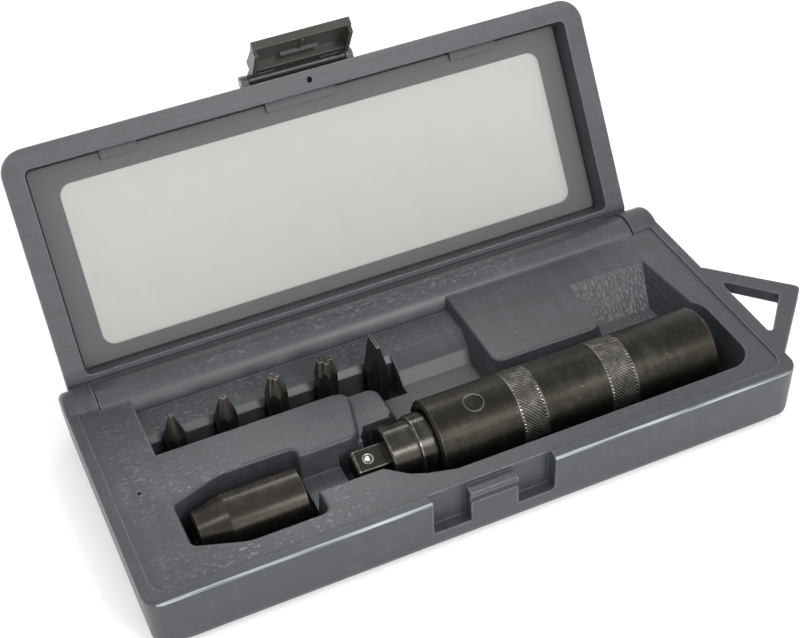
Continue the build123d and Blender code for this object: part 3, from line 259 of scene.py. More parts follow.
class Effects:
    """The shader node groups that several finishes share, each built once.

    Attributes:
        edge_full: how open an edge is where its mask of wear and painted highlight is full.
        crackle_drift: how far the crackled cells are pushed about.
        crackle_drift_fineness: how fine that push is beside the cells.
        short_rub_fineness: how much finer short rubs are than long ones.
        speck_patch_fineness: how fine the specks' patches are beside the specks.
        speck_patch_share: how much commoner specks are in a patch.
        speck_sharpness: how sharply a speck's border falls off.
    """

    edge_full: float = 0.28
    crackle_drift: float = 1.6 * MM
    crackle_drift_fineness: float = 0.8
    short_rub_fineness: float = 2.7
    speck_patch_fineness: float = 0.08
    speck_patch_share: float = 0.1
    speck_sharpness: float = 30.0

    def __init__(self) -> None:
        """Build every group."""
        self.edges = self.edge_mask_of_wear_and_highlight()
        self.grain = self.moulded_grain()
        self.marks = self.handling_marks()
        self.specks = self.bright_specks()
        self.lathe = self.turned_rings()
        self.crackle = self.crackled_skin()
        self.window = self.window_band(LidWindow())

    @staticmethod
    def begin(name: str, inputs: dict[str, float], output: str) -> tuple:
        """Start a node group.

        Args:
            name: the group's name.
            inputs: its value inputs with what they start at.
            output: its one value output.

        Returns:
            The wiring, the inputs' sockets by name, and the output node.
        """
        tree = bpy.data.node_groups.new(name, "ShaderNodeTree")
        for label, value in inputs.items():
            socket = tree.interface.new_socket(label, in_out="INPUT", socket_type="NodeSocketFloat")
            socket.default_value = value
        tree.interface.new_socket(output, in_out="OUTPUT", socket_type="NodeSocketFloat")
        source = tree.nodes.new("NodeGroupInput")
        target = tree.nodes.new("NodeGroupOutput")
        return Wiring(tree), source.outputs, target

    def edge_mask_of_wear_and_highlight(self) -> bpy.types.NodeTree:
        """Build the mask of outer edges for wear, broken up as rubbing leaves it, and for a painted edge
        highlight.

        Returns:
            The group.
        """
        inputs = {"Reach": 0.6 * MM, "Breakup": 400.0, "Least": 0.07}
        wires, given, target = self.begin("edge wear and highlight", inputs, "Mask")
        inner = wires.node("AmbientOcclusion", inside=True, only_local=True, samples=8)
        wires.feed(inner, Distance=given["Reach"])
        open_share = wires.math("SUBTRACT", 1.0, inner.outputs["AO"])
        near = wires.remap(open_share, low=given["Least"], high=self.edge_full)
        noise = wires.node("TexNoise")
        place = wires.node("TexCoord")
        wires.feed(noise, Vector=place.outputs["Object"], Scale=given["Breakup"])
        wires.feed(noise, Detail=4.0, Roughness=0.6)
        # The mask keeps 0.4 of its strength between rubs, so a painted highlight runs along every outer
        # edge.
        patchy = wires.remap(noise.outputs["Fac"], low=0.38, high=0.62, start=0.4, end=1.0)
        wires.feed(target, Mask=wires.math("MULTIPLY", near, patchy))
        return wires.tree

    def moulded_grain(self) -> bpy.types.NodeTree:
        """Build the short leather creases of a moulded skin, as a height.

        Returns:
            The group.
        """
        wires, given, target = self.begin("moulded grain", {"Scale": 900.0}, "Height")
        noise = wires.node("TexNoise")
        place = wires.stretched(scale=(0.5, 1.0, 1.0), turn=(0, 0, 0.15))
        wires.feed(noise, Vector=place, Scale=given["Scale"])
        wires.feed(noise, Detail=2.0, Roughness=0.6, Distortion=0.6)
        wires.feed(target, Height=wires.remap(noise.outputs["Fac"], low=0.56, high=0.63))
        return wires.tree

    def crackled_skin(self) -> bpy.types.NodeTree:
        """Build the crackled pattern of a rough mould face, as a height.

        Returns:
            The group.
        """
        wires, given, target = self.begin("crackled skin", {"Scale": 520.0}, "Height")
        drift = wires.node("TexNoise")
        fineness = wires.math("MULTIPLY", given["Scale"], self.crackle_drift_fineness)
        wires.feed(drift, Vector=wires.stretched(scale=(1, 1, 1)), Scale=fineness)
        shift = wires.scaled(drift.outputs["Color"], self.crackle_drift)
        moved = wires.node("VectorMath", operation="ADD")
        place = wires.stretched(scale=(1.0, 0.5, 0.6), turn=(0, 0, 0.2))
        for socket, value in zip(moved.inputs, (place, shift)):
            wires.tree.links.new(value, socket)
        cells = wires.node("TexVoronoi", feature="DISTANCE_TO_EDGE")
        wires.feed(cells, Vector=moved.outputs[0], Scale=given["Scale"])
        wires.feed(target, Height=wires.remap(cells.outputs["Distance"], low=0.02, high=0.25))
        return wires.tree

    def window_band(self, window: LidWindow) -> bpy.types.NodeTree:
        """Build the mask of the sheet outside the lid's window.

        Args:
            window: the window's place and size.

        Returns:
            The group.
        """
        sizes = {
            "Half width": window.half_width,
            "Half height": window.half_height,
            "Corner": window.corner,
        }
        wires, given, target = self.begin("window band", sizes, "Mask")
        place = wires.place()
        behind = wires.math("SUBTRACT", place["Y"], window.hinge_y)
        above = wires.math("SUBTRACT", place["Z"], window.hinge_z)
        along = wires.math("MULTIPLY", behind, math.cos(window.open_angle))
        rise = wires.math("MULTIPLY", above, -math.sin(window.open_angle))
        height = wires.math("ADD", wires.math("ADD", along, rise), window.centre)
        offsets = []
        for value, reach in ((place["X"], given["Half width"]), (height, given["Half height"])):
            straight = wires.math("SUBTRACT", reach, given["Corner"])
            offsets.append(wires.math("SUBTRACT", wires.math("ABSOLUTE", value), straight))
        squares = [wires.math("POWER", wires.math("MAXIMUM", offset, 0.0), 2.0) for offset in offsets]
        outer = wires.math("SQRT", wires.math("ADD", *squares))
        inner = wires.math("MINIMUM", wires.math("MAXIMUM", *offsets), 0.0)
        beyond = wires.math("SUBTRACT", wires.math("ADD", outer, inner), given["Corner"])
        wires.feed(target, Mask=wires.remap(beyond, low=-window.blur, high=window.blur))
        return wires.tree

    def handling_marks(self) -> bpy.types.NodeTree:
        """Build the long faint rubs and scratches, as a mask.

        Returns:
            The group.
        """
        inputs = {"Scale": 60.0, "Amount": 0.5}
        wires, given, target = self.begin("handling marks", inputs, "Mask")
        long_rub = wires.node("TexNoise")
        lengthwise = wires.stretched(scale=(0.18, 1.0, 1.0), turn=(0.1, 0.2, 0.5))
        wires.feed(long_rub, Vector=lengthwise, Scale=given["Scale"], Detail=6.0, Roughness=0.65)
        short_rub = wires.node("TexNoise")
        crosswise = wires.stretched(scale=(1.0, 0.2, 0.7), turn=(0.3, 0.1, 1.1))
        fineness = wires.math("MULTIPLY", given["Scale"], self.short_rub_fineness)
        wires.feed(short_rub, Vector=crosswise, Scale=fineness, Detail=5.0, Roughness=0.6)
        both = wires.math("MULTIPLY", long_rub.outputs["Fac"], short_rub.outputs["Fac"])
        rubbed = wires.remap(both, low=0.24, high=0.42)
        wires.feed(target, Mask=wires.math("MULTIPLY", rubbed, given["Amount"]))
        return wires.tree

    def bright_specks(self) -> bpy.types.NodeTree:
        """Build the small bright points where a dark finish has chipped, as a mask.

        Returns:
            The group.
        """
        inputs = {"Scale": 900.0, "Rarity": 0.7}
        wires, given, target = self.begin("bright specks", inputs, "Mask")
        place = wires.node("TexCoord").outputs["Object"]
        fine = wires.node("TexNoise")
        wires.feed(fine, Vector=place, Scale=given["Scale"], Detail=2.0, Roughness=0.7)
        patch = wires.node("TexNoise")
        fineness = wires.math("MULTIPLY", given["Scale"], self.speck_patch_fineness)
        wires.feed(patch, Vector=place, Scale=fineness)
        easing = wires.math("MULTIPLY", patch.outputs["Fac"], -self.speck_patch_share)
        over = wires.math("SUBTRACT", fine.outputs["Fac"], wires.math("ADD", given["Rarity"], easing))
        mask = wires.math("MULTIPLY", over, self.speck_sharpness, clamp=True)
        wires.feed(target, Mask=mask)
        return wires.tree

    def turned_rings(self) -> bpy.types.NodeTree:
        """Build the fine rings that a lathe leaves round the long axis, as a height.

        Returns:
            The group.
        """
        wires, given, target = self.begin("turned rings", {"Scale": 2500.0}, "Height")
        noise = wires.node("TexNoise", noise_dimensions="1D")
        wires.feed(noise, W=wires.place()["X"], Scale=given["Scale"], Detail=3.0, Roughness=0.7)
        wires.feed(target, Height=noise.outputs["Fac"])
        return wires.tree


def begin_material(name: str) -> tuple[bpy.types.Material, Wiring, bpy.types.Node]:
    """Start a material with one Principled shader.

    Args:
        name: the material's name.

    Returns:
        The material, its wiring and the shader node.
    """
    material = bpy.data.materials.new(name)
    material.use_nodes = True
    wires = Wiring(material.node_tree)
    shader = material.node_tree.nodes["Principled BSDF"]
    return material, wires, shader


@dataclass(frozen=True)
class Region:
    """A box in a piece's own coordinates.

    Args:
        low: the box's low corner.
        high: the box's high corner.
        blur: how far its mask fades to each side of a face.
    """

    low: Place
    high: Place
    blur: float = 0.3 * MM

    def mask(self, wires: Wiring) -> Socket:
        """Mask the box.

        Args:
            wires: the material's wiring.

        Returns:
            A mask that is 1 inside the box.
        """
        place = wires.place()
        mask: object = 1.0
        for axis, low, high in zip("XYZ", self.low, self.high):
            over = wires.remap(place[axis], low=low - self.blur, high=low + self.blur)
            under = wires.remap(
                place[axis], low=high - self.blur, high=high + self.blur, start=1.0, end=0.0
            )
            mask = wires.math("MULTIPLY", mask, wires.math("MULTIPLY", over, under))
        return mask


@dataclass(frozen=True)
class MouldedPlastic:
    """Satin moulded plastic with pale creases and rubs, edges that are pale partly from wear and partly from
    a painted highlight, painted glints in the creases and a painted highlight along a rim.

    Args:
        name: the material's name.
        colour: the plastic's own colour.
        worn_and_highlight: its colour where it is rubbed, creased or worn at an edge, and the colour of the
            painted glints and edge highlight.
        roughness: the roughness of an untouched face.
        grain_height: the height of its creases.
        corner: the radius that its shading gives to sharp corners.
        edge_reach_of_wear_and_highlight: how far the edge mask reaches in from an edge.
        edge_share_of_wear_and_highlight: how much of that colour an edge shows, as wear and as a painted
            highlight.
        streaks: how far fine streaks lighten and darken it.
        creased: where its upper faces are creased, or everywhere.
        fade_start: where along the creased region the creases begin to fade.
        fade_end: where along it they have faded to the faded share.
        faded_share: what is left of them there.
        highlight_rim: where a painted highlight runs along a rim, if anywhere.
        highlight_colour: that painted highlight's colour.
        crackled: where the mould left a crackled face, if anywhere.
        crackle_height: the height of that face's cells.
        crackle_tone: how much lighter the cells are than the grooves.
        ripple_height: the height of its shallow waves.
        rub_share: how much of the worn colour a rub shows.
        crease_and_glint_share: how much of it a crease shows, as a pale crease and as a painted glint.
        rub_dulling: how much rougher a rub is.
        edge_gloss: how much smoother a worn edge is.
        crease_gloss: how much smoother a creased face is.
    """

    name: str
    colour: Colour
    worn_and_highlight: Colour
    roughness: float
    grain_height: float
    corner: float
    edge_reach_of_wear_and_highlight: float
    edge_share_of_wear_and_highlight: float
    streaks: float = 0.03
    creased: Region | None = None
    fade_start: float = -80.0 * MM
    fade_end: float = 20.0 * MM
    faded_share: float = 0.2
    highlight_rim: Region | None = None
    highlight_colour: Colour = (0.42, 0.45, 0.49)
    crackled: Region | None = None
    crackle_height: float = 0.12 * MM
    crackle_tone: float = 1.12
    ripple_height: float = 0.12 * MM
    rub_share: float = 0.14
    crease_and_glint_share: float = 0.5
    rub_dulling: float = 0.12
    edge_gloss: float = 0.12
    crease_gloss: float = 0.08

    def creasing(self, wires: Wiring, cloud: Socket) -> Socket:
        """Work out how strongly each place is creased.

        Args:
            wires: the material's wiring.
            cloud: a large soft noise that makes the creases patchy.

        Returns:
            The creases' share, 0 on all but upper faces.
        """
        patch = wires.remap(cloud, low=0.44, high=0.6, start=0.15, end=1.0)
        facing = wires.node("SeparateXYZ")
        wires.feed(facing, Vector=wires.node("TexCoord").outputs["Normal"])
        level = wires.remap(facing.outputs["Z"], low=0.8, high=0.97)
        share = wires.math("MULTIPLY", level, patch)
        if self.creased is None:
            return share
        fading = wires.remap(
            wires.place()["X"], low=self.fade_start, high=self.fade_end, start=1.0, end=self.faded_share
        )
        inside = self.creased.mask(wires)
        return wires.math("MULTIPLY", share, wires.math("MULTIPLY", inside, fading))

    def build(self, effects: Effects) -> bpy.types.Material:
        """Make the material.

        Args:
            effects: the shared node groups.

        Returns:
            The finished material.
        """
        material, wires, shader = begin_material(self.name)
        edges = wires.group(effects.edges, Reach=self.edge_reach_of_wear_and_highlight, Breakup=260.0, Least=0.17).outputs["Mask"]
        marks = wires.group(effects.marks, Scale=70.0, Amount=0.6).outputs["Mask"]
        grain = wires.group(effects.grain, Scale=900.0).outputs["Height"]
        noise = wires.node("TexNoise")
        wires.feed(noise, Vector=wires.stretched(scale=(0.6, 1, 1)), Scale=30.0, Detail=5.0)
        cloud = noise.outputs["Fac"]
        creased = self.creasing(wires, cloud)
        creases = wires.math("MULTIPLY", grain, creased)
        lift = wires.math("MULTIPLY", creases, self.grain_height)
        noise = wires.node("TexNoise")
        lengthwise = wires.stretched(scale=(0.03, 1.0, 1.0))
        wires.feed(noise, Vector=lengthwise, Scale=700.0, Detail=3.0, Roughness=0.6)
        streak = noise.outputs["Fac"]
        drawn = wires.remap(streak, low=0.35, high=0.65, start=1.0 - self.streaks, end=1.0 + self.streaks)
        clouded = wires.remap(cloud, low=0.3, high=0.7, start=0.97, end=1.03)
        tone = wires.math("MULTIPLY", clouded, drawn)
        if self.crackled is not None:
            skin = wires.group(effects.crackle).outputs["Height"]
            cells = wires.math("MULTIPLY", skin, self.crackled.mask(wires))
            lift = wires.math("ADD", lift, wires.math("MULTIPLY", cells, self.crackle_height))
            lighter = wires.remap(cells, low=0.0, high=1.0, start=1.0, end=self.crackle_tone)
            tone = wires.math("MULTIPLY", tone, lighter)
        colour = wires.scaled(self.colour, tone)
        # Rubs are real wear; creases are pale creases with painted glints; edges show wear and a painted
        # highlight.
        wear = ((marks, self.rub_share), (creases, self.crease_and_glint_share), (edges, self.edge_share_of_wear_and_highlight))
        for mask, share in wear:
            colour = wires.mix(wires.math("MULTIPLY", mask, share), colour, self.worn_and_highlight)
        # A painted highlight along the front top rim, broken by the streaks.
        if self.highlight_rim is not None:
            broken = wires.remap(streak, low=0.42, high=0.56, start=0.25, end=1.0)
            colour = wires.mix(wires.math("MULTIPLY", self.highlight_rim.mask(wires), broken), colour, self.highlight_colour)
        rough = wires.math("ADD", self.roughness, wires.math("MULTIPLY", marks, self.rub_dulling))
        rough = wires.math("ADD", rough, wires.math("MULTIPLY", edges, -self.edge_gloss))
        rough = wires.math("ADD", rough, wires.math("MULTIPLY", creased, -self.crease_gloss))
        ripple = wires.math("MULTIPLY", cloud, self.ripple_height)
        normal = wires.raised(wires.math("ADD", lift, ripple), wires.soft_corner(self.corner))
        wires.feed(shader, Base_Color=colour, Roughness=rough, Normal=normal, Specular_IOR_Level=0.5)
        return material


@dataclass(frozen=True)
class BlackenedSteel:
    """Black-oxide steel with a bronze cast, bright where it is rubbed and along edges that carry wear and a
    painted highlight.

    Args:
        name: the material's name.
        colour: the black oxide's colour.
        worn_and_highlight: the colour of the bare steel where it shows, and of the painted edge highlight.
        roughness: the roughness of an untouched face.
        ring_height: the height of its turned rings.
        corner: the radius that its shading gives to sharp corners.
        edge_reach_of_wear_and_highlight: how far the edge mask reaches in from an edge.
        edge_share_of_wear_and_highlight: how much bare steel an edge shows, as wear and as a painted
            highlight.
        speck_rarity: how rare bright specks are, from 0 to 1.
        scuff_share: how much bare steel a rub shows.
        scuff_dulling: how much rougher a rub is.
        bright_gloss: how much smoother bare steel is.
        drawn_roughness: how far the drawn lines change the roughness.
    """

    name: str
    colour: Colour
    worn_and_highlight: Colour
    roughness: float
    ring_height: float
    corner: float
    edge_reach_of_wear_and_highlight: float
    edge_share_of_wear_and_highlight: float
    speck_rarity: float
    scuff_share: float = 0.1
    scuff_dulling: float = 0.18
    bright_gloss: float = 0.12
    drawn_roughness: float = 0.06

    def build(self, effects: Effects) -> bpy.types.Material:
        """Make the material.

        Args:
            effects: the shared node groups.

        Returns:
            The finished material.
        """
        material, wires, shader = begin_material(self.name)
        edges = wires.group(effects.edges, Reach=self.edge_reach_of_wear_and_highlight, Breakup=320.0).outputs["Mask"]
        specks = wires.group(effects.specks, Scale=2400.0, Rarity=self.speck_rarity).outputs["Mask"]
        marks = wires.group(effects.marks, Scale=110.0, Amount=0.5).outputs["Mask"]
        rings = wires.group(effects.lathe, Scale=2600.0).outputs["Height"]
        # Bare steel at edges is partly wear and partly a painted highlight; specks are chips.
        bright = wires.math("MAXIMUM", wires.math("MULTIPLY", edges, self.edge_share_of_wear_and_highlight), specks)
        cloud = wires.node("TexNoise")
        wires.feed(cloud, Vector=wires.stretched(scale=(1, 1, 1)), Scale=60.0, Detail=6.0)
        tone = wires.remap(cloud.outputs["Fac"], low=0.3, high=0.7, start=0.86, end=1.14)
        base = wires.scaled(self.colour, tone)
        scuffed = wires.mix(wires.math("MULTIPLY", marks, self.scuff_share), base, self.worn_and_highlight)
        streak = wires.node("TexNoise")
        lengthwise = wires.stretched(scale=(0.08, 1.0, 1.0))
        wires.feed(streak, Vector=lengthwise, Scale=420.0, Detail=4.0, Roughness=0.6)
        least, most = -self.drawn_roughness, self.drawn_roughness
        drawn = wires.remap(streak.outputs["Fac"], low=0.3, high=0.7, start=least, end=most)
        rough = wires.math("ADD", self.roughness, wires.math("MULTIPLY", marks, self.scuff_dulling))
        rough = wires.math("ADD", rough, drawn)
        rough = wires.math("ADD", rough, wires.math("MULTIPLY", bright, -self.bright_gloss))
        lift = wires.math("MULTIPLY", rings, self.ring_height)
        normal = wires.raised(lift, wires.soft_corner(self.corner))
        wires.feed(shader, Base_Color=wires.mix(bright, scuffed, self.worn_and_highlight), Roughness=rough)
        wires.feed(shader, Normal=normal, Metallic=0.9)
        return material


@dataclass(frozen=True)
class BareMetal:
    """Plain metal with fine drawn lines and small marks.

    Args:
        name: the material's name.
        colour: the metal's colour.
        dark: its colour where it is marked.
        roughness: the roughness of an untouched face.
        ring_height: the height of its turned rings.
        mark_dulling: how much rougher a mark is.
    """

    name: str
    colour: Colour
    dark: Colour
    roughness: float
    ring_height: float = 0.0
    mark_dulling: float = 0.2

    def build(self, effects: Effects) -> bpy.types.Material:
        """Make the material.

        Args:
            effects: the shared node groups.

        Returns:
            The finished material.
        """
        material, wires, shader = begin_material(self.name)
        marks = wires.group(effects.marks, Scale=200.0, Amount=0.5).outputs["Mask"]
        rings = wires.group(effects.lathe, Scale=4000.0).outputs["Height"]
        colour = wires.mix(marks, self.colour, self.dark)
        rough = wires.math("ADD", self.roughness, wires.math("MULTIPLY", marks, self.mark_dulling))
        normal = wires.raised(wires.math("MULTIPLY", rings, self.ring_height))
        wires.feed(shader, Base_Color=colour, Roughness=rough, Normal=normal, Metallic=1.0)
        return material


@dataclass(frozen=True)
class SoftRubber:
    """Dull rubber with a fine skin.

    Args:
        name: the material's name.
        colour: the rubber's colour.
        dust_gain: how many times lighter it is where it is dusty.
        roughness: the roughness of an untouched face.
        mark_dulling: how much rougher a mark is.
        grain_height: the height of its skin.
    """

    name: str
    colour: Colour
    dust_gain: float = 3.0
    roughness: float = 0.6
    mark_dulling: float = 0.2
    grain_height: float = 0.02 * MM

    def build(self, effects: Effects) -> bpy.types.Material:
        """Make the material.

        Args:
            effects: the shared node groups.

        Returns:
            The finished material.
        """
        material, wires, shader = begin_material(self.name)
        grain = wires.group(effects.grain, Scale=4000.0).outputs["Height"]
        marks = wires.group(effects.marks, Scale=300.0, Amount=0.6).outputs["Mask"]
        dusty = tuple(self.dust_gain * part for part in self.colour)
        colour = wires.mix(marks, self.colour, dusty)
        normal = wires.raised(wires.math("MULTIPLY", grain, self.grain_height))
        rough = wires.math("ADD", self.roughness, wires.math("MULTIPLY", marks, self.mark_dulling))
        wires.feed(shader, Base_Color=colour, Roughness=rough, Normal=normal)
        return material


@dataclass(frozen=True)
class FrostedSheet:
    """Frosted translucent sheet that lets soft light through.

    Args:
        name: the material's name.
        colour: the sheet's colour in the window.
        border: its colour where the lid's frame lies behind it.
        passing: the share of light that passes through.
        haze_share: how much of its brightness a handled place keeps.
        roughness: the roughness of an untouched face.
        mark_dulling: how much rougher a mark is.
        grain_height: the height of its frosting.
    """

    name: str
    colour: Colour
    border: Colour
    passing: float
    haze_share: float = 0.93
    roughness: float = 0.42
    mark_dulling: float = 0.2
    grain_height: float = 0.01 * MM

    def build(self, effects: Effects) -> bpy.types.Material:
        """Make the material.

        Args:
            effects: the shared node groups.

        Returns:
            The finished material.
        """
        material, wires, shader = begin_material(self.name)
        grain = wires.group(effects.grain, Scale=2500.0).outputs["Height"]
        marks = wires.group(effects.marks, Scale=40.0, Amount=0.5).outputs["Mask"]
        hazy = tuple(self.haze_share * part for part in self.colour)
        clear = wires.mix(marks, self.colour, hazy)
        band = wires.group(effects.window).outputs["Mask"]
        colour = wires.mix(band, clear, self.border)
        normal = wires.raised(wires.math("MULTIPLY", grain, self.grain_height))
        rough = wires.math("ADD", self.roughness, wires.math("MULTIPLY", marks, self.mark_dulling))
        wires.feed(shader, Base_Color=colour, Roughness=rough, Normal=normal)
        wires.feed(shader, Transmission_Weight=self.passing, IOR=1.3)
        return material


class Finish(Enum):
    """Every finish that a piece of the set wears."""

    CASE = MouldedPlastic(
        name="case plastic",
        colour=(0.04, 0.0435, 0.049),
        worn_and_highlight=(0.26, 0.28, 0.31),
        roughness=0.38,
        grain_height=0.08 * MM,
        corner=1.1 * MM,
        edge_reach_of_wear_and_highlight=1.0 * MM,
        edge_share_of_wear_and_highlight=0.32,
        creased=Region(
            low=(-122.5 * MM, -54.0 * MM, 18.8 * MM),
            high=(122.5 * MM, 55.0 * MM, 26.0 * MM),
        ),
        # A painted highlight along the front top edge of the rim.
        highlight_rim=Region(
            low=(-131.0 * MM, -61.0 * MM, 24.75 * MM),
            high=(131.0 * MM, -59.6 * MM, 26.0 * MM),
            blur=0.25 * MM,
        ),
        crackled=Region(
            low=(75.0 * MM, -1.0 * MM, 4.0 * MM),
            high=(111.5 * MM, 26.0 * MM, 24.2 * MM),
        ),
    )
    LID = MouldedPlastic(
        name="lid plastic",
        colour=(0.05, 0.053, 0.059),
        worn_and_highlight=(0.2, 0.22, 0.24),
        roughness=0.38,
        grain_height=0.015 * MM,
        corner=0.8 * MM,
        edge_reach_of_wear_and_highlight=0.8 * MM,
        edge_share_of_wear_and_highlight=0.5,
        streaks=0.12,
    )
    LATCH = MouldedPlastic(
        name="latch plastic",
        colour=(0.036, 0.0345, 0.03),
        worn_and_highlight=(0.13, 0.125, 0.11),
        roughness=0.34,
        grain_height=0.01 * MM,
        corner=0.3 * MM,
        edge_reach_of_wear_and_highlight=0.35 * MM,
        edge_share_of_wear_and_highlight=0.5,
    )
    BODY = BlackenedSteel(
        name="driver black oxide",
        colour=(0.025, 0.0225, 0.018),
        worn_and_highlight=(0.42, 0.41, 0.38),
        roughness=0.4,
        ring_height=0.004 * MM,
        corner=0.35 * MM,
        edge_reach_of_wear_and_highlight=0.5 * MM,
        edge_share_of_wear_and_highlight=0.6,
        speck_rarity=0.77,
    )
    KNURL = BlackenedSteel(
        name="knurl black oxide",
        colour=(0.03, 0.027, 0.022),
        worn_and_highlight=(0.45, 0.43, 0.4),
        roughness=0.36,
        ring_height=0.0,
        corner=0.05 * MM,
        edge_reach_of_wear_and_highlight=0.2 * MM,
        edge_share_of_wear_and_highlight=0.9,
        speck_rarity=0.76,
    )
    # Its pale edges are partly wear and partly a painted highlight.
    SPINDLE = BlackenedSteel(
        name="spindle black oxide",
        colour=(0.036, 0.033, 0.028),
        worn_and_highlight=(0.8, 0.78, 0.74),
        roughness=0.26,
        ring_height=0.02 * MM,
        corner=0.35 * MM,
        edge_reach_of_wear_and_highlight=0.6 * MM,
        edge_share_of_wear_and_highlight=1.0,
        speck_rarity=0.78,
    )
    HOLDER = BlackenedSteel(
        name="holder black oxide",
        colour=(0.043, 0.038, 0.032),
        worn_and_highlight=(0.5, 0.48, 0.45),
        roughness=0.24,
        ring_height=0.004 * MM,
        corner=0.35 * MM,
        edge_reach_of_wear_and_highlight=0.5 * MM,
        edge_share_of_wear_and_highlight=0.7,
        speck_rarity=0.79,
    )
    BIT = BlackenedSteel(
        name="bit black oxide",
        colour=(0.06, 0.055, 0.047),
        worn_and_highlight=(0.4, 0.38, 0.35),
        roughness=0.4,
        ring_height=0.0,
        corner=0.25 * MM,
        edge_reach_of_wear_and_highlight=0.4 * MM,
        edge_share_of_wear_and_highlight=0.7,
        speck_rarity=0.79,
    )
    STEEL = BareMetal(
        name="drawn steel",
        colour=(0.42, 0.42, 0.41),
        dark=(0.2, 0.2, 0.19),
        roughness=0.3,
        ring_height=0.004 * MM,
    )
    SPRING = BareMetal(
        name="spring steel",
        colour=(0.3, 0.3, 0.29),
        dark=(0.12, 0.12, 0.11),
        roughness=0.34,
    )
    BALL = BareMetal(
        name="bearing steel",
        colour=(0.8, 0.8, 0.79),
        dark=(0.6, 0.6, 0.59),
        roughness=0.08,
    )
    BRONZE = BareMetal(
        name="sintered bronze",
        colour=(0.45, 0.3, 0.14),
        dark=(0.25, 0.16, 0.08),
        roughness=0.4,
        ring_height=0.01 * MM,
    )
    RUBBER = SoftRubber(name="seal rubber", colour=(0.012, 0.012, 0.012))
    SHEET = FrostedSheet(
        name="frosted sheet",
        colour=(0.56, 0.553, 0.534),
        border=(0.155, 0.161, 0.164),
        passing=0.3,
    )


class Palette:
    """Builds each finish's material when it is first asked for.

    Args:
        effects: the shared node groups.
    """

    def __init__(self, effects: Effects) -> None:
        """Keep the shared groups and start with no material made."""
        self.effects = effects
        self.made: dict[Finish, bpy.types.Material] = {}

    def __getitem__(self, finish: Finish) -> bpy.types.Material:
        """Give a finish's material.

        Args:
            finish: the finish.

        Returns:
            Its material, the same one each time.
        """
        if finish not in self.made:
            self.made[finish] = finish.value.build(self.effects)
        return self.made[finish]


@dataclass
class SubAssembly:
    """A group of nodes and pieces that belong together.

    Args:
        palette: where the materials come from.
        nodes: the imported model's objects by node name.
    """

    palette: Palette
    nodes: dict[str, bpy.types.Object]

    def dress(self, finishes: dict[str, Finish]) -> None:
        """Give each named node its finish.

        Args:
            finishes: the finish by node name.
        """
        for name, finish in finishes.items():
            mesh = self.nodes[name].data
            mesh.materials.clear()
            mesh.materials.append(self.palette[finish])
            LOG.info("dressed %s in %s", name, self.palette[finish].name)

    def settle(
        self, name: str, shape: bmesh.types.BMesh, finish: Finish, body: str, slot: str
    ) -> bpy.types.Object:
        """Turn a finished bmesh into a piece that rides on a body.

        Args:
            name: the piece's name.
            shape: its mesh, already in place.
            finish: its finish.
            body: the body that it moves with.
            slot: not used.

        Returns:
            The new object.
        """
        mesh = bpy.data.meshes.new(name)
        shape.to_mesh(mesh)
        shape.free()
        piece = bpy.data.objects.new(name, mesh)
        bpy.context.scene.collection.objects.link(piece)
        mesh.materials.append(self.palette[finish])
        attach(piece, body)
        LOG.info("made %s with %d faces", name, len(mesh.polygons))
        return piece


class Case(SubAssembly):
    """The moulded base with its hinge pins."""

    def build(self) -> None:
        """Dress the base and its pins."""
        self.dress(
            {
                "case_base": Finish.CASE,
                "hinge_pin_left": Finish.STEEL,
                "hinge_pin_right": Finish.STEEL,
            }
        )


class Lid(SubAssembly):
    """The lid frame with its window sheet and latch."""

    def build(self) -> None:
        """Dress the lid, the sheet and the latch."""
        self.dress(
            {
                "lid_frame": Finish.LID,
                "window_sheet": Finish.SHEET,
                "latch": Finish.LATCH,
                "latch_pin": Finish.STEEL,
            }
        )


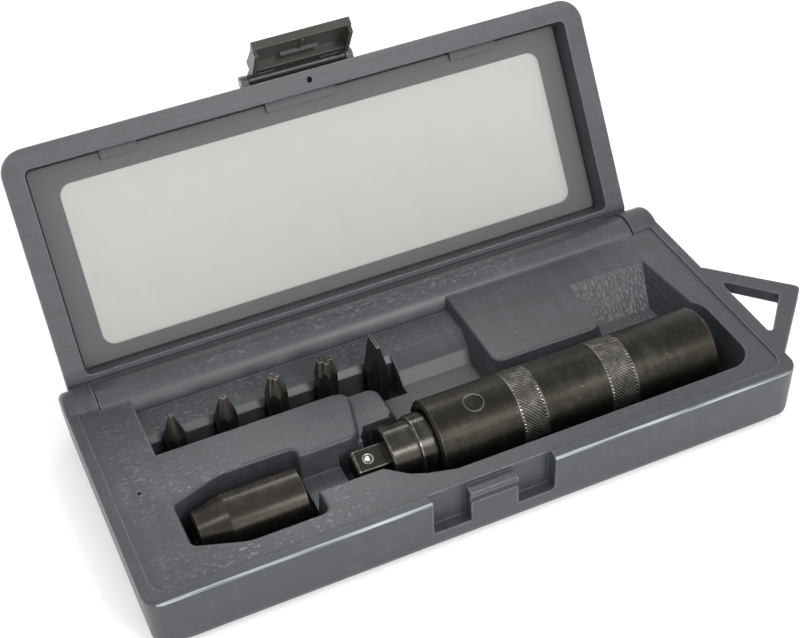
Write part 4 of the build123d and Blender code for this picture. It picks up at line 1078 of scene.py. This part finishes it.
@dataclass
class Driver(SubAssembly):
    """The striking driver with its knurled bands.

    Args:
        band_starts: where each knurled band begins along the driver.
        band_lengths: each band's length.
        crest_radius: the radius over the diamonds' points.
        root_radius: the radius in the grooves between them.
        under_radius: the radius of the bands' hidden inner side.
        knurl_count: how many diamonds go round.
        near: how close to a band's end or root a vertex counts as on it.
        merging: the distance below which vertices are joined.
    """

    band_starts: tuple[float, float] = (22.8 * MM, 60.3 * MM)
    band_lengths: tuple[float, float] = (9.9 * MM, 11.0 * MM)
    crest_radius: float = 16.0 * MM
    root_radius: float = 15.72 * MM
    under_radius: float = 15.6 * MM
    knurl_count: int = 72
    near: float = 0.01 * MM
    merging: float = 0.001 * MM

    def build(self) -> None:
        """Dress the driver's nodes and cut its knurls."""
        self.dress(
            {
                "driver_body": Finish.BODY,
                "cross_pin": Finish.BODY,
                "front_bush": Finish.BRONZE,
                "retaining_ring": Finish.SPRING,
                "spindle_seal": Finish.RUBBER,
                "cam_spindle": Finish.SPINDLE,
                "detent_ball": Finish.BALL,
                "thrust_washer": Finish.SPRING,
                "return_spring": Finish.SPRING,
                "detent_spring": Finish.SPRING,
            }
        )
        low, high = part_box("driver_body")
        axis = (low + high) / 2
        for index, (start, length) in enumerate(zip(self.band_starts, self.band_lengths)):
            self.knurl(f"knurl_band_{index + 1}", start, length, axis)

    def knurl(self, name: str, start: float, length: float, axis: Vector) -> None:
        """Make one band of diamond knurling as a closed ring.

        Args:
            name: the piece's name.
            start: where the band begins along the driver.
            length: the band's length.
            axis: a point on the driver's axis.
        """
        columns = 2 * self.knurl_count
        rows = 2 * round(length * self.knurl_count / (2 * math.pi * self.crest_radius))
        shape = bmesh.new()
        outline = [Vector((start, 0, self.under_radius))]
        outline += [Vector((start + length * row / rows, 0, self.root_radius)) for row in range(rows + 1)]
        outline.append(Vector((start + length, 0, self.under_radius)))
        corners = [shape.verts.new(point) for point in outline]
        edges = [shape.edges.new(pair) for pair in zip(corners, corners[1:] + corners[:1])]
        bmesh.ops.spin(
            shape,
            geom=corners + edges,
            axis=(1, 0, 0),
            cent=(0, 0, 0),
            angle=2 * math.pi,
            steps=columns,
            use_merge=True,
        )
        bmesh.ops.remove_doubles(shape, verts=shape.verts, dist=self.merging)
        for vert in shape.verts:
            radius = math.hypot(vert.co.y, vert.co.z)
            inside = start + self.near < vert.co.x < start + length - self.near
            if not inside or radius < self.root_radius - self.near:
                continue
            row = round((vert.co.x - start) / length * rows)
            column = round(math.atan2(vert.co.y, vert.co.z) / (2 * math.pi) * columns)
            if (row + column) % 2 == 0:
                vert.co.yz *= self.crest_radius / radius
        bmesh.ops.recalc_face_normals(shape, faces=shape.faces)
        bmesh.ops.translate(shape, verts=shape.verts, vec=(0, axis.y, axis.z))
        self.settle(name, shape, Finish.KNURL, "driver", "black_steel")


class Accessories(SubAssembly):
    """The bit holder and the bits."""

    def build(self) -> None:
        """Dress the holder, its ring and every bit."""
        holder = {"bit_holder": Finish.HOLDER, "bit_ring": Finish.SPRING}
        self.dress(holder)
        bits = [name for name in self.nodes if name.startswith("bit_") and name not in holder]
        self.dress({name: Finish.BIT for name in bits})


@dataclass(frozen=True)
class Lamp:
    """One soft square lamp.

    Args:
        name: the lamp's name.
        place: where it hangs, in metres.
        size: the side of its square.
        power: its power in watts.
        target: what it points at.
    """

    name: str
    place: Place
    size: float
    power: float
    target: Place = (0, 0, 0)

    def hang(self) -> None:
        """Hang the lamp in the scene."""
        data = bpy.data.lights.new(self.name, "AREA")
        data.shape = "SQUARE"
        data.size = self.size
        data.energy = self.power
        lamp = bpy.data.objects.new(self.name, data)
        bpy.context.scene.collection.objects.link(lamp)
        lamp.location = self.place
        aim = Vector(self.target) - Vector(self.place)
        lamp.rotation_euler = aim.to_track_quat("-Z", "Y").to_euler()


@dataclass
class Studio:
    """Floor, lights and camera.

    Args:
        focal_pixels: the lens's focal length in pixels of the photograph.
        photo_width: the photograph's width in pixels.
        sensor: the camera's sensor width, in millimetres.
        camera_place: where the camera stands, in metres.
        camera_forward: the direction that it looks in.
        camera_up: its upward direction.
        camera_near: the nearest distance that it sees.
        floor_reach: how far the floor reaches to each side.
        floor_drop: how far the floor lies under the case.
        floor_colour: the floor's colour.
        floor_glow: the floor's own light, which keeps it pale.
        backdrop: the brightness of the surroundings.
        lamps: the lamps.
    """

    focal_pixels: float = 1533.6
    photo_width: float = 800.0
    sensor: float = 36.0
    camera_place: Vector = field(default_factory=lambda: Vector((-167.38, -397.55, 426.09)) * MM)
    camera_forward: Vector = field(default_factory=lambda: Vector((0.28185, 0.70476, -0.65106)))
    camera_up: Vector = field(default_factory=lambda: Vector((0.30117, 0.57928, 0.75745)))
    camera_near: float = 0.01
    floor_reach: float = 6.0
    floor_drop: float = 0.05 * MM
    floor_colour: Colour = (0.92, 0.92, 0.92)
    floor_glow: float = 0.2
    backdrop: float = 0.95
    lamps: tuple[Lamp, ...] = (
        Lamp("key_lamp", place=(-0.5, -0.3, 1.1), size=0.25, power=1.0),
        Lamp("rim_lamp", place=(0.3, 1.0, 0.9), size=0.3, power=2.4),
        Lamp("edge_lamp", place=(0.45, -1.0, 1.05), size=0.35, power=7.0),
        Lamp("front_lamp", place=(0.0, -1.3, 0.35), size=0.9, power=4.0),
    )

    def build(self) -> None:
        """Set up the floor, the lights and the camera."""
        self.floor()
        self.lights()
        self.camera()

    def floor(self) -> None:
        """Lay the pale floor."""
        shape = bmesh.new()
        bmesh.ops.create_grid(shape, x_segments=1, y_segments=1, size=self.floor_reach)
        bmesh.ops.translate(shape, verts=shape.verts, vec=(0, 0, -self.floor_drop))
        mesh = bpy.data.meshes.new("studio_floor")
        shape.to_mesh(mesh)
        shape.free()
        ground = bpy.data.objects.new("studio_floor", mesh)
        bpy.context.scene.collection.objects.link(ground)
        material, wires, shader = begin_material("studio floor")
        cloud = wires.node("TexNoise")
        wires.feed(cloud, Vector=wires.stretched(scale=(1, 1, 1)), Scale=3.0)
        rough = wires.remap(cloud.outputs["Fac"], low=0.3, high=0.7, start=0.85, end=0.95)
        wires.feed(shader, Base_Color=rgba(self.floor_colour), Roughness=rough)
        wires.feed(shader, Emission_Color=rgba((1.0, 1.0, 1.0)), Emission_Strength=self.floor_glow)
        mesh.materials.append(material)

    def lights(self) -> None:
        """Set the pale surroundings and hang the lamps."""
        world = bpy.data.worlds.new("studio")
        bpy.context.scene.world = world
        world.use_nodes = True
        surroundings = world.node_tree.nodes["Background"]
        surroundings.inputs["Color"].default_value = rgba((1.0, 1.0, 1.0))
        surroundings.inputs["Strength"].default_value = self.backdrop
        for lamp in self.lamps:
            lamp.hang()

    def camera(self) -> None:
        """Stand the camera where the photograph was taken from."""
        forward = self.camera_forward.normalized()
        right = forward.cross(self.camera_up).normalized()
        up = right.cross(forward)
        turn = Matrix((right, up, -forward)).transposed().to_4x4()
        data = bpy.data.cameras.new("photo_camera")
        data.sensor_width = self.sensor
        data.lens = self.focal_pixels / self.photo_width * self.sensor
        data.clip_start = self.camera_near
        camera = bpy.data.objects.new("photo_camera", data)
        bpy.context.scene.collection.objects.link(camera)
        camera.matrix_world = Matrix.Translation(self.camera_place) @ turn
        bpy.context.scene.camera = camera
        bpy.context.scene.view_settings.view_transform = "Standard"


def main() -> None:
    """Build the scene piece by piece."""
    logging.basicConfig(level=logging.INFO, format="%(message)s")
    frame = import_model()
    palette = Palette(Effects())
    nodes = frame["nodes"]
    for kind in (Case, Lid, Driver, Accessories):
        kind(palette, nodes).build()
    Studio().build()


if __name__ == "__main__":
    main()
